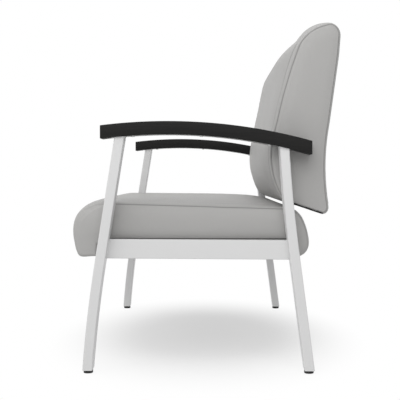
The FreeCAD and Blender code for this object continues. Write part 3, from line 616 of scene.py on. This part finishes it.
def cushionMesh(shape):
    points, marks = outlineOf(shape["outline"], shape["step"])
    count = len(points)
    normals = normalsOf(points, coverShape["easeOutline"])
    words = ("crown", "drawn", "round", "seam", "sewn", "held", "gather")
    crown, drawn, rollSize, seam, sewn, held, gather = (
        spread(shape[word], marks, count, coverShape["easeTable"]) for word in words)
    bed = [0.0] * count
    if "window" in shape:
        first, last = (markSpot(mark, marks, count) for mark in shape["window"])
        bed = [shape["windowDeep"] if first < spot < last else 0.0 for spot in range(count)]
    stations = rollStations(shape)
    rows = coverRows(shape, stations)
    mesh = bmesh.new()
    seamShades = []
    pins = []
    rings = []
    for way, station in rows:
        ring = []
        pucker = shape["pucker"] * dip(station, 0.5 * shape["bandAt"], coverShape["puckerWide"])
        for spot in range(count):
            across, out, seamShade = coverSpot(shape, station, crown[spot], drawn[spot], rollSize[spot],
                                            seam[spot], sewn[spot])
            out -= bed[spot] * min(1.0, max(0.0, station) / coverShape["bedSlope"])
            depth, height = (size / coverShape["puckerLong"] for size in points[spot])
            ripple = noise.noise(Vector((depth, height, station / coverShape["puckerStep"] + way)))
            out += pucker * (1 - held[spot]) * ripple
            if station < shape["bandAt"]:  # small folds that run up from the lower corners
                along = past(station, rollSize[spot]) / coverShape["foldGap"]
                fold = math.sin(along + coverShape["foldLean"] * spot)
                out += gather[spot] * shape["folds"] * fold
            flat = points[spot] + normals[spot] * out
            ring.append(mesh.verts.new((way * across / perMetre, flat.x / perMetre, flat.y / perMetre)))
            seamShades.append(seamShade)
            pins.append(min(1.0, max(held[spot], coverShape["pinned"] * seamShade)))
        rings.append(ring)
    first, last = (markSpot(mark, marks, count) for mark in shape["under"])
    for number in range(len(rings) - 1):
        here, there = rings[number], rings[number + 1]
        station = min(rows[number][1], rows[number + 1][1])
        for spot in range(count):
            after = (spot + 1) % count
            face = mesh.faces.new((here[spot], here[after], there[after], there[spot]))
            if first <= spot < last and station >= seam[spot] - 1 - coverShape["seamSlack"]:
                face.material_index = 1  # the underside is closed with black cloth, a dark sheet that paints the shade along the back's lower edge
    for ring in (rings[0], rings[-1]):
        closeEnd(mesh, ring, shape["step"] / perMetre)
    bmesh.ops.recalc_face_normals(mesh, faces=mesh.faces)
    piece = pieceFrom(mesh, shape["name"])
    loose = len(piece.data.vertices) - len(seamShades)
    band = stations.index(shape["bandAt"])
    start, stop = (int(markSpot(mark, marks, count)) for mark in shape["stitched"])
    lines = [[row * count + spot for spot in range(start, stop)] for row in (band, len(rows) - 1 - band)]
    return piece, seamShades + [0.0] * loose, pins + [0.0] * loose, lines


endShape = {"margin": 0.6, "merge": 1e-6, "joinBend": 3.1, "joinSkew": 1.2}


def closeEnd(mesh, ring, gap):
    # fills the end panel with a lattice of points inside its outline
    flat = [Vector((point.co.y, point.co.z)) for point in ring]
    count = len(flat)
    around = [(number, (number + 1) % count) for number in range(count)]
    borders = [(flat[one], flat[two]) for one, two in around]

    def inside(spot):
        crossed = 0
        for one, two in borders:
            share = geometry.intersect_point_line(spot, one, two)[1]
            nearest = one.lerp(two, min(1.0, max(0.0, share)))
            if (nearest - spot).length < endShape["margin"] * gap:
                return False
            if (one.y > spot.y) != (two.y > spot.y):
                crossed += spot.x < one.x + (two.x - one.x) * (spot.y - one.y) / (two.y - one.y)
        return crossed % 2 == 1

    low = Vector((min(spot.x for spot in flat), min(spot.y for spot in flat)))
    wide, tall = (int((max(spot[axis] for spot in flat) - low[axis]) / gap) + 1 for axis in (0, 1))
    lattice = [low + Vector((column, row)) * gap for row in range(tall) for column in range(wide)]
    within = [spot for spot in lattice if inside(spot)]
    points = ring + [mesh.verts.new((ring[0].co.x, *spot)) for spot in within]
    filled = geometry.delaunay_2d_cdt(flat + within, around, [list(range(count))], 1, endShape["merge"])
    triangles, sources = filled[2], filled[3]
    panel = [mesh.faces.new([points[sources[number][0]] for number in triangle]) for triangle in triangles]
    bmesh.ops.join_triangles(mesh, faces=panel, angle_face_threshold=endShape["joinBend"],
                             angle_shape_threshold=endShape["joinSkew"])


swellShape = {"quality": 6, "mass": 0.3, "moments": 20, "endNear": 0.5}


def swellCover(piece, pins, shape):
    # the cover is blown up between its stitch lines, and no point moves further than most
    group = piece.vertex_groups.new(name="sewn")
    for number, weight in enumerate(pins):
        group.add([number], weight, "REPLACE")
    before = [point.co.copy() for point in piece.data.vertices]
    pick(piece)
    tool = piece.modifiers.new("Cloth", "CLOTH")
    cloth = tool.settings
    cloth.quality = swellShape["quality"]
    cloth.mass = swellShape["mass"]
    cloth.vertex_group_mass = "sewn"
    cloth.use_pressure = True
    cloth.uniform_pressure_force = shape["pressure"]
    cloth.effector_weights.gravity = 0
    tool.collision_settings.use_collision = False
    for moment in range(1, swellShape["moments"] + 1):
        scene.frame_set(moment)
    bpy.ops.object.modifier_apply(modifier=tool.name)
    scene.frame_set(1)
    largest = 0.0
    for point, start in zip(piece.data.vertices, before):
        move = point.co - start
        largest = max(largest, move.length)
        if move.length > 1e-9:
            sideways = abs(move.x) / move.length
            most = (shape["most"] + (shape["endMost"] - shape["most"]) * sideways ** 2) / perMetre
            point.co = start + move.normalized() * most * math.tanh(move.length / most)
        if abs(start.x) * perMetre > shape["half"] - swellShape["endNear"]:  # end panels only swell outwards
            point.co.x = math.copysign(max(abs(point.co.x), abs(start.x)), start.x)
    piece.vertex_groups.clear()
    print(shape["name"], "swelled, capped from", round(largest * perMetre, 1), "mm")


def makeCushion(shape, stands):
    piece, seamShades, pins, lines = cushionMesh(shape)
    swellCover(piece, pins, shape)
    # the seam attribute carries the painted shade along seam lines and topstitch bands
    seam = piece.data.attributes.new("seam", "FLOAT", "POINT")
    seam.data.foreach_set("value", seamShades)
    use(piece, "SUBSURF", levels=1, render_levels=1)
    for face in piece.data.polygons:
        face.use_smooth = True
    closed = [face.material_index for face in piece.data.polygons]
    hand(piece, "frame", "vinyl", stands)
    # black cloth for the underside, which paints the shade along the back's lower edge
    piece.data.materials.append(finishes["dust_cloth"])
    piece.data.polygons.foreach_set("material_index", closed)  # hand's fresh materials had reset it
    print(shape["name"], len(piece.data.polygons), "faces")
    return piece, lines


seatCushion, seatLines = makeCushion(seatShape, ("seat_cover", "seat_foam"))
backCushion, backLines = makeCushion(backShape, ("back_cover", "back_foam"))


# outer back: the board behind the back, covered in the same vinyl with rounded edges

outerShape = {"round": 0.0035, "merge": 0.00002, "flat": 1.5, "fill": 0.95}


def makeOuterBack():
    piece = copyOf(nodes["back_panel"], "outerBack")
    piece.parent = None
    piece.matrix_world = Matrix.Identity(4)
    edit(piece)
    bpy.ops.mesh.remove_doubles(threshold=outerShape["merge"])
    bpy.ops.mesh.dissolve_limited(angle_limit=math.radians(outerShape["flat"]))
    endEdit()
    soften(piece, outerShape["round"], 4)
    smooth(piece, 40)
    hand(piece, "frame", "vinyl", ("back_panel",))
    print("outerBack", len(piece.data.polygons), "faces")


makeOuterBack()


# topstitching: one stitch is modelled, then copied along each row

stitchShape = {"long": 0.0046, "thick": 0.0010, "pitch": 0.0068, "round": 0.0003, "dive": 0.0005}


def oneStitch():
    size = (stitchShape["long"], stitchShape["thick"], stitchShape["thick"])
    stitch = block("oneStitch", size, (0, 0, 0))
    edit(stitch)
    bpy.ops.mesh.bevel(offset=stitchShape["round"], segments=1, affect="EDGES")
    choose(stitch, "FACE", lambda face: abs(face.normal.x) > facing)
    bpy.ops.transform.translate(value=(0, 0, -stitchShape["dive"]))  # both ends dive into the cover
    endEdit()
    return stitch


def rowSpots(cushion, line):
    # even places along a ring of the finished cover, with the way along and the way out
    points = [cushion.data.vertices[number] for number in line]
    places = []
    travelled = 0.0
    wanted = 0.0
    for here, there in zip(points, points[1:]):
        run = there.co - here.co
        while wanted <= travelled + run.length:
            share = (wanted - travelled) / run.length
            out = here.normal.lerp(there.normal, share)
            places.append((here.co.lerp(there.co, share), run.normalized(), out))
            wanted += stitchShape["pitch"]
        travelled += run.length
    return places


def copiesAt(name, model, places, slot, finish=None):
    # one piece from copies of the model, each set on its place along and out
    mesh = bmesh.new()
    for spot, along, out in places:
        side = out.cross(along).normalized()
        turned = Matrix((along, side, along.cross(side))).transposed().to_4x4()
        turned.translation = spot
        first = len(mesh.verts)
        mesh.from_mesh(model.data)
        mesh.verts.ensure_lookup_table()
        bmesh.ops.transform(mesh, matrix=turned, verts=mesh.verts[first:])
    piece = pieceFrom(mesh, name)
    smooth(piece, 40)
    hand(piece, "frame", slot, finish=finish)


def makeStitching():
    model = oneStitch()
    total = 0
    for cushion, lines, word in ((seatCushion, seatLines, "seat"), (backCushion, backLines, "back")):
        for line, side in zip(lines, ("right", "left")):
            places = rowSpots(cushion, line)
            copiesAt(f"{word}Topstitch_{side}", model, places, "vinyl", "thread")
            total += len(places)
    bpy.data.objects.remove(model)
    print("topstitching:", total, "stitches")


makeStitching()


# dust cloth under the seat, stretched between its staples

clothShape = {"flat": (0.970, 0.308), "cuts": (60, 22), "sag": 0.0010, "slackFrom": 0.03, "ripple": 0.0005,
              "rippleCells": (9, 22), "rippleSlice": 3, "thick": 0.0004}


def makeDustCloth():
    low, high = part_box("dust_cover")
    width, length = clothShape["flat"]
    cutsWide, cutsDeep = clothShape["cuts"]
    cellsWide, cellsDeep = clothShape["rippleCells"]
    middle = (low + high) / 2
    clearAll()
    bpy.ops.mesh.primitive_grid_add(x_subdivisions=cutsWide, y_subdivisions=cutsDeep, size=1,
                                    location=(middle.x, middle.y, high.z - clothShape["thick"] / 2))
    cloth = named("dustCloth")
    cloth.scale = (width, length, 1)
    settle(cloth)
    for point in cloth.data.vertices:
        edge = min(width / 2 - abs(point.co.x), length / 2 - abs(point.co.y - middle.y))
        slack = 1 - math.exp(-edge / clothShape["slackFrom"])
        spot = (point.co.x * cellsWide, point.co.y * cellsDeep, clothShape["rippleSlice"])
        point.co.z -= slack * (clothShape["sag"] + clothShape["ripple"] * noise.noise(Vector(spot)))
    use(cloth, "SOLIDIFY", thickness=clothShape["thick"], offset=0)
    smooth(cloth, 60)
    hand(cloth, "frame", "dust_cloth", ("dust_cover",))
    print("dustCloth", len(cloth.data.polygons), "faces")


makeDustCloth()


# arms: a bar spun to the arch, cut upright at both ends, rounded, and grooved for its steel bar

armShape = {"radius": 1.390, "thick": 0.034, "apex": -0.0994, "steps": 44, "round": 0.0032, "over": 0.03,
            "merge": 0.00001, "grooveDeep": 0.0051, "grooveBelow": 0.02}


def archedBar(name, low, high, outer, inner, front, rear):
    # spun about the arch's centre line, then cut off at front and rear
    centre = Vector((0, armShape["apex"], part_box("arm_cap_left")[1].z - armShape["radius"]))
    first = math.asin((front - armShape["over"] - centre.y) / outer)
    last = math.asin((rear + armShape["over"] - centre.y) / outer)
    middle = ((low + high) / 2, centre.y, centre.z + (outer + inner) / 2)
    clearAll()
    bpy.ops.mesh.primitive_plane_add(size=1, location=middle, rotation=(math.pi / 2, 0, 0))
    bar = named(name)
    bar.scale = (high - low, outer - inner, 1)
    settle(bar)
    edit(bar)
    bpy.ops.mesh.spin(steps=armShape["steps"], angle=last - first, center=centre, axis=(1, 0, 0))
    bpy.ops.mesh.select_all(action="SELECT")
    bpy.ops.transform.rotate(value=first, orient_axis="X", orient_type="GLOBAL", center_override=centre)
    for cutAt, away in ((front, -1), (rear, 1)):
        bpy.ops.mesh.bisect(plane_co=(0, cutAt, 0), plane_no=(0, away, 0), use_fill=True, clear_outer=True)
        bpy.ops.mesh.select_all(action="SELECT")
    bpy.ops.mesh.remove_doubles(threshold=armShape["merge"])
    bpy.ops.mesh.normals_make_consistent(inside=False)
    endEdit()
    print(name, len(bar.data.polygons), "faces")
    return bar


def makeArm(side):
    low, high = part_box("arm_cap_" + side)
    inner = armShape["radius"] - armShape["thick"]
    arm = archedBar("arm_" + side, low.x, high.x, armShape["radius"], inner, low.y, high.y)
    soften(arm, armShape["round"], 4)
    barLow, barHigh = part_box("arm_bar_" + side)
    cutter = archedBar("groove", barLow.x, barHigh.x, inner + armShape["grooveDeep"],
                       inner - armShape["grooveBelow"], barLow.y, barHigh.y)
    use(arm, "BOOLEAN", operation="DIFFERENCE", object=cutter, solver="EXACT")
    bpy.data.objects.remove(cutter)
    smooth(arm, 30)
    hand(arm, "frame", "arm_wood", ("arm_cap_" + side,))


for side in sides:
    makeArm(side)
print("arms done")


# glides: a turned pad with a hollow under it, and a threaded stud

padShape = {"sides": 48, "footRound": 0.0013, "topRound": 0.0009, "hollow": 0.0008, "rim": 0.0035,
            "near": 0.0001}


def makePad(end, side):
    low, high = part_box(f"glide_pad_{end}_{side}")
    near = padShape["near"]
    pad = cylinder(f"glidePad_{end}_{side}", padShape["sides"], (high.x - low.x) / 2, high.z - low.z,
                   (low + high) / 2)
    edit(pad)
    for level, size, steps in ((low.z, padShape["footRound"], 4), (high.z, padShape["topRound"], 2)):
        choose(pad, "EDGE", lambda edge: all(abs(point.co.z - level) < near for point in edge.verts))
        bpy.ops.mesh.bevel(offset=size, segments=steps, affect="EDGES")
    for way in (-1, 1):  # hollowed underneath, then on top
        choose(pad, "FACE", lambda face: face.normal.z * way > facing)
        bpy.ops.mesh.inset(thickness=padShape["rim"])
        bpy.ops.transform.translate(value=(0, 0, -way * padShape["hollow"]))
    endEdit()
    smooth(pad, 35)
    hand(pad, f"pad_{end}_{side}", "glide_plastic", (f"glide_pad_{end}_{side}",))


studShape = {"pitch": 0.00125, "ridge": 0.0007, "flank": 0.48, "root": 0.0002, "steps": 20, "chamfer": 0.0008,
             "merge": 0.000001}


def makeStud(end, side):
    low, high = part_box(f"glide_stud_{end}_{side}")
    middle = (low + high) / 2
    radius = (high.x - low.x) / 2
    core = radius - studShape["ridge"]
    pitch = studShape["pitch"]
    steps = studShape["steps"]
    rod = cylinder("rod", steps, core, high.z - low.z, middle)
    soften(rod, studShape["chamfer"], 1)
    clearAll()
    bpy.ops.mesh.primitive_circle_add(vertices=3, radius=1, fill_type="NGON", location=(0, 0, 0))
    ridge = named("ridge")
    root, flank = core - studShape["root"], pitch * studShape["flank"]
    for point, (out, up) in zip(ridge.data.vertices, ((root, -flank), (radius, 0), (root, flank))):
        point.co = (out, 0, up)
    turns = int((high.z - low.z - 2 * pitch) / pitch)
    use(ridge, "SCREW", axis="Z", screw_offset=pitch, iterations=turns, steps=steps, render_steps=steps,
        use_merge_vertices=True, merge_threshold=studShape["merge"])
    for point in ridge.data.vertices:
        point.co += Vector((middle.x, middle.y, low.z + pitch))
    stud = joined([rod, ridge], f"glideStud_{end}_{side}")
    edit(stud)
    bpy.ops.mesh.fill_holes(sides=6)
    bpy.ops.mesh.select_all(action="SELECT")
    bpy.ops.mesh.normals_make_consistent(inside=False)
    endEdit()
    smooth(stud, 30)
    hand(stud, f"stud_{end}_{side}", "plain_steel", (f"glide_stud_{end}_{side}",))


for end, side in corners:
    makePad(end, side)
    makeStud(end, side)
print("glides done")


# rail strips: black edging that closes the slit between the seat and each side rail, a dark strip that paints
# the shadow in that slit

shadowStripShape = {"wide": 0.0075, "tall": 0.0017, "round": 0.0006, "ends": 0.006, "outward": 0.002,
              "sunk": 0.0004}


def makeShadowStrip(side, way):
    low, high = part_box("side_rail_" + side)
    inner = min(abs(low.x), abs(high.x))
    length = high.y - low.y - 2 * shadowStripShape["ends"]
    level = high.z + shadowStripShape["tall"] / 2 - shadowStripShape["sunk"]
    place = (way * (inner + shadowStripShape["outward"]), (low.y + high.y) / 2, level)
    shadowStrip = block("railStrip_" + side, (shadowStripShape["wide"], length, shadowStripShape["tall"]), place)
    edit(shadowStrip)
    choose(shadowStrip, "EDGE", lambda edge: all(point.co.z > high.z for point in edge.verts))
    bpy.ops.mesh.bevel(offset=shadowStripShape["round"], segments=3, affect="EDGES")
    endEdit()
    smooth(shadowStrip, 35)
    # black plastic over the rail's top edge: painted shadow of the slit under the seat
    hand(shadowStrip, "frame", "plug_plastic")


for side, way in sides.items():
    makeShadowStrip(side, way)
print("rail strips done")


# small fastenings: screws under the arms and cross rails, staples round the dust cloth, welds on the rails

widthways = Vector((1, 0, 0))
depthways = Vector((0, 1, 0))
downwards = Vector((0, 0, -1))
screwShape = {"sides": 24, "across": 0.009, "tall": 0.0026, "round": 0.0011, "recess": 0.0026, "deep": 0.0009,
              "armPlaces": (-0.190, -0.012, 0.166), "railPlaces": (-0.38, -0.13, 0.13, 0.38)}


def oneScrew():
    radius, tall = screwShape["across"] / 2, screwShape["tall"]
    screw = cylinder("oneScrew", screwShape["sides"], radius, tall, (0, 0, tall / 2))
    edit(screw)
    choose(screw, "EDGE", lambda edge: all(point.co.z > tall / 2 for point in edge.verts))
    bpy.ops.mesh.bevel(offset=screwShape["round"], segments=3, affect="EDGES")
    choose(screw, "FACE", lambda face: face.normal.z > facing)
    bpy.ops.mesh.inset(thickness=radius - screwShape["round"] - screwShape["recess"] / 2)
    bpy.ops.mesh.extrude_region_move(TRANSFORM_OT_translate={"value": (0, 0, -screwShape["deep"])})
    endEdit()
    return screw


def makeScrews():
    model = oneScrew()
    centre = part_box("arm_cap_left")[1].z - armShape["radius"]
    under = armShape["radius"] - armShape["thick"]
    for side in sides:
        low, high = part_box("arm_bar_" + side)
        places = []
        for depth in screwShape["armPlaces"]:
            angle = math.asin((depth - armShape["apex"]) / under)
            out = Vector((0, -math.sin(angle), -math.cos(angle)))
            spot = Vector(((low.x + high.x) / 2, depth, centre + under * math.cos(angle)))
            places.append((spot, widthways, out))
        copiesAt("armScrews_" + side, model, places, "plain_steel")
    places = []
    for rail in ("front_cross_rail", "rear_cross_rail"):
        low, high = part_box(rail)
        places += [(Vector((across, (low.y + high.y) / 2, low.z)), widthways, downwards)
                   for across in screwShape["railPlaces"]]
    copiesAt("seatScrews", model, places, "plain_steel")
    bpy.data.objects.remove(model)


stapleShape = {"long": 0.011, "wide": 0.0011, "tall": 0.0007, "round": 0.35, "pitch": 0.042, "margin": 0.006}


def oneStaple():
    tall = stapleShape["tall"]
    staple = block("oneStaple", (stapleShape["long"], stapleShape["wide"], tall), (0, 0, tall / 2))
    edit(staple)
    bpy.ops.mesh.bevel(offset=tall * stapleShape["round"], segments=1, affect="EDGES")
    endEdit()
    return staple


def makeStaples():
    model = oneStaple()
    low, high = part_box("dust_cover")
    level = high.z - clothShape["thick"]
    margin = stapleShape["margin"]
    wide, deep = high.x - low.x, high.y - low.y
    longRow, shortRow = int(wide / stapleShape["pitch"]), int(deep / stapleShape["pitch"])
    places = []
    for number in range(longRow + 1):
        across = low.x + 2 * margin + (wide - 4 * margin) * number / longRow
        places += [(Vector((across, depth, level)), widthways, downwards)
                   for depth in (low.y + margin, high.y - margin)]
    for number in range(1, shortRow):
        depth = low.y + deep * number / shortRow
        places += [(Vector((across, depth, level)), depthways, downwards)
                   for across in (low.x + margin, high.x - margin)]
    copiesAt("clothStaples", model, places, "plain_steel")
    bpy.data.objects.remove(model)


weldShape = {"radius": 0.0022, "sides": 10, "rings": 15, "ripple": 1.18,
             "paths": (((-0.2607, 0.2985), (-0.2525, 0.3485)), ((0.2188, 0.2985), (0.2122, 0.3485)))}


def oneBead(first, last):
    # a round bar whose every other ring is a little wider
    run = last - first
    ripple = weldShape["ripple"]
    bead = cylinder("bead", weldShape["sides"], weldShape["radius"], run.length, (0, 0, 0))
    edit(bead)
    choose(bead, "EDGE", lambda edge: abs(edge.verts[0].co.z - edge.verts[1].co.z) > run.length / 2)
    bpy.ops.mesh.subdivide(number_cuts=weldShape["rings"])
    gap = run.length / (weldShape["rings"] + 1)
    choose(bead, "VERT", lambda point: abs(point.co.z) < run.length / 2 - gap / 2
           and round((point.co.z + run.length / 2) / gap) % 2)
    bpy.ops.transform.resize(value=(ripple, ripple, 1), center_override=(0, 0, 0))
    endEdit()
    bead.rotation_mode = "QUATERNION"
    bead.rotation_quaternion = run.to_track_quat("Z", "Y")
    bead.location = (first + last) / 2
    settle(bead)
    return bead


def makeWelds(side, way):
    low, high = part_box("side_rail_" + side)
    face = way * max(abs(low.x), abs(high.x))
    beads = [oneBead(Vector((face, *start)), Vector((face, *stop))) for start, stop in weldShape["paths"]]
    welds = joined(beads, "railWelds_" + side)
    use(welds, "SUBSURF", levels=1, render_levels=1)
    smooth(welds, 70)
    hand(welds, "frame", "frame_paint")


makeScrews()
makeStaples()
for side, way in sides.items():
    makeWelds(side, way)
print("fastenings done")


# stage: the camera's focal length is in pixels of a square picture

viewpoint = {"place": (2.812, 0.0036, 0.5175), "aim": (-1.0, -0.00831, -0.02852), "sensor": 36, "focal": 866,
             "picture": 400}


def makeCamera():
    lens = bpy.data.cameras.new("photoCamera")
    lens.sensor_width = viewpoint["sensor"]
    lens.lens = viewpoint["sensor"] * viewpoint["focal"] / viewpoint["picture"]
    camera = bpy.data.objects.new("photoCamera", lens)
    camera.location = viewpoint["place"]
    camera.rotation_mode = "QUATERNION"
    camera.rotation_quaternion = Vector(viewpoint["aim"]).to_track_quat("-Z", "Y")
    scene.collection.objects.link(camera)
    scene.camera = camera


stageLook = {"seen": 0.97, "rough": 0.9, "bounce": 0.64, "around": 0.40, "size": 60, "shade": 0.54,
             "reach": (0.40, 1.1), "shadow": (0.78, 0.47)}


def rayNode(tree):
    # one where the camera, a reflection or a view through something meets the surface
    path = tree.nodes.new("ShaderNodeLightPath")
    total = path.outputs["Is Camera Ray"]
    for word in ("Is Glossy Ray", "Is Transmission Ray"):
        node = tree.nodes.new("ShaderNodeMath")
        node.operation = "MAXIMUM"
        tree.links.new(total, node.inputs[0])
        tree.links.new(path.outputs[word], node.inputs[1])
        total = node.outputs[0]
    return total


def floorFinish():
    paint = Paint("paleFloor")
    paint.shade(colour=grey(stageLook["seen"]), rough=stageLook["rough"], gloss=0.0)
    seen = Socket(paint, rayNode(paint.tree))
    # away from the object the floor turns into plain white
    near, far = stageLook["reach"]
    wide, deep = stageLook["shadow"]
    away = paint.add("VectorMath", {"operation": "LENGTH"}, {0: paint.mapped((1 / wide, 1 / deep, 0))}, 1)
    away = paint.add("MapRange", {"interpolation_type": "SMOOTHSTEP"}, {
        "Value": away, "From Min": near, "From Max": far, "To Min": 1 - stageLook["shade"], "To Max": 1.0})
    white = paint.add("Emission", {}, {"Strength": 1.0})
    lit = Socket(paint, paint.shader.outputs[0])
    shown = paint.add("MixShader", {}, {0: away, 1: lit, 2: white})
    bounce = paint.add("Emission", {}, {"Strength": stageLook["bounce"]})  # what the floor throws back up
    floorShader = paint.add("MixShader", {}, {0: seen, 1: bounce, 2: shown})
    paint.tree.links.new(floorShader.link, paint.tree.nodes["Material Output"].inputs["Surface"])
    return paint.material


def makeStage():
    clearAll()
    bpy.ops.mesh.primitive_plane_add(size=stageLook["size"], location=(0, 0, 0))
    floor = named("floor")
    floor.data.materials.append(floorFinish())
    world = bpy.data.worlds.new("studio")
    scene.world = world
    world.use_nodes = True
    tree = world.node_tree
    level = tree.nodes.new("ShaderNodeMapRange")
    level.inputs["To Min"].default_value = stageLook["around"]
    level.inputs["To Max"].default_value = 1.0
    tree.links.new(rayNode(tree), level.inputs["Value"])
    sky = tree.nodes["Background"]
    sky.inputs["Color"].default_value = (1, 1, 1, 1)
    tree.links.new(level.outputs["Result"], sky.inputs["Strength"])


lamps = {
    "key": {"from": (0.70, -0.20, 0.62), "spread": 70, "power": 0.60},
    "front": {"from": (0.1, -0.85, 0.5), "spread": 100, "power": 0.86},
    "behind": {"from": (-0.7, 0.5, 0.6), "spread": 100, "power": 0.32},
}
softBox = {"place": (2.0, -0.05, 1.7), "aim": (0.5, 0.0, 0.55), "size": 1.5, "power": 12}


def holdLamp(name, light, back):
    # back is the way from what the lamp lights to the lamp
    holder = bpy.data.objects.new(name, light)
    holder.rotation_mode = "QUATERNION"
    holder.rotation_quaternion = back.to_track_quat("Z", "Y")
    scene.collection.objects.link(holder)
    return holder


def makeLamps():
    for name, lamp in lamps.items():
        light = bpy.data.lights.new(name, "SUN")
        light.angle = math.radians(lamp["spread"])
        light.energy = lamp["power"]
        holdLamp(name, light, Vector(lamp["from"]))
    light = bpy.data.lights.new("softBox", "AREA")
    light.shape = "DISK"
    light.size = softBox["size"]
    light.energy = softBox["power"]
    holder = holdLamp("softBox", light, Vector(softBox["place"]) - Vector(softBox["aim"]))
    holder.location = softBox["place"]


makeCamera()
makeStage()
makeLamps()
scene.view_settings.view_transform = "Standard"
print("stage set")

clearAll()
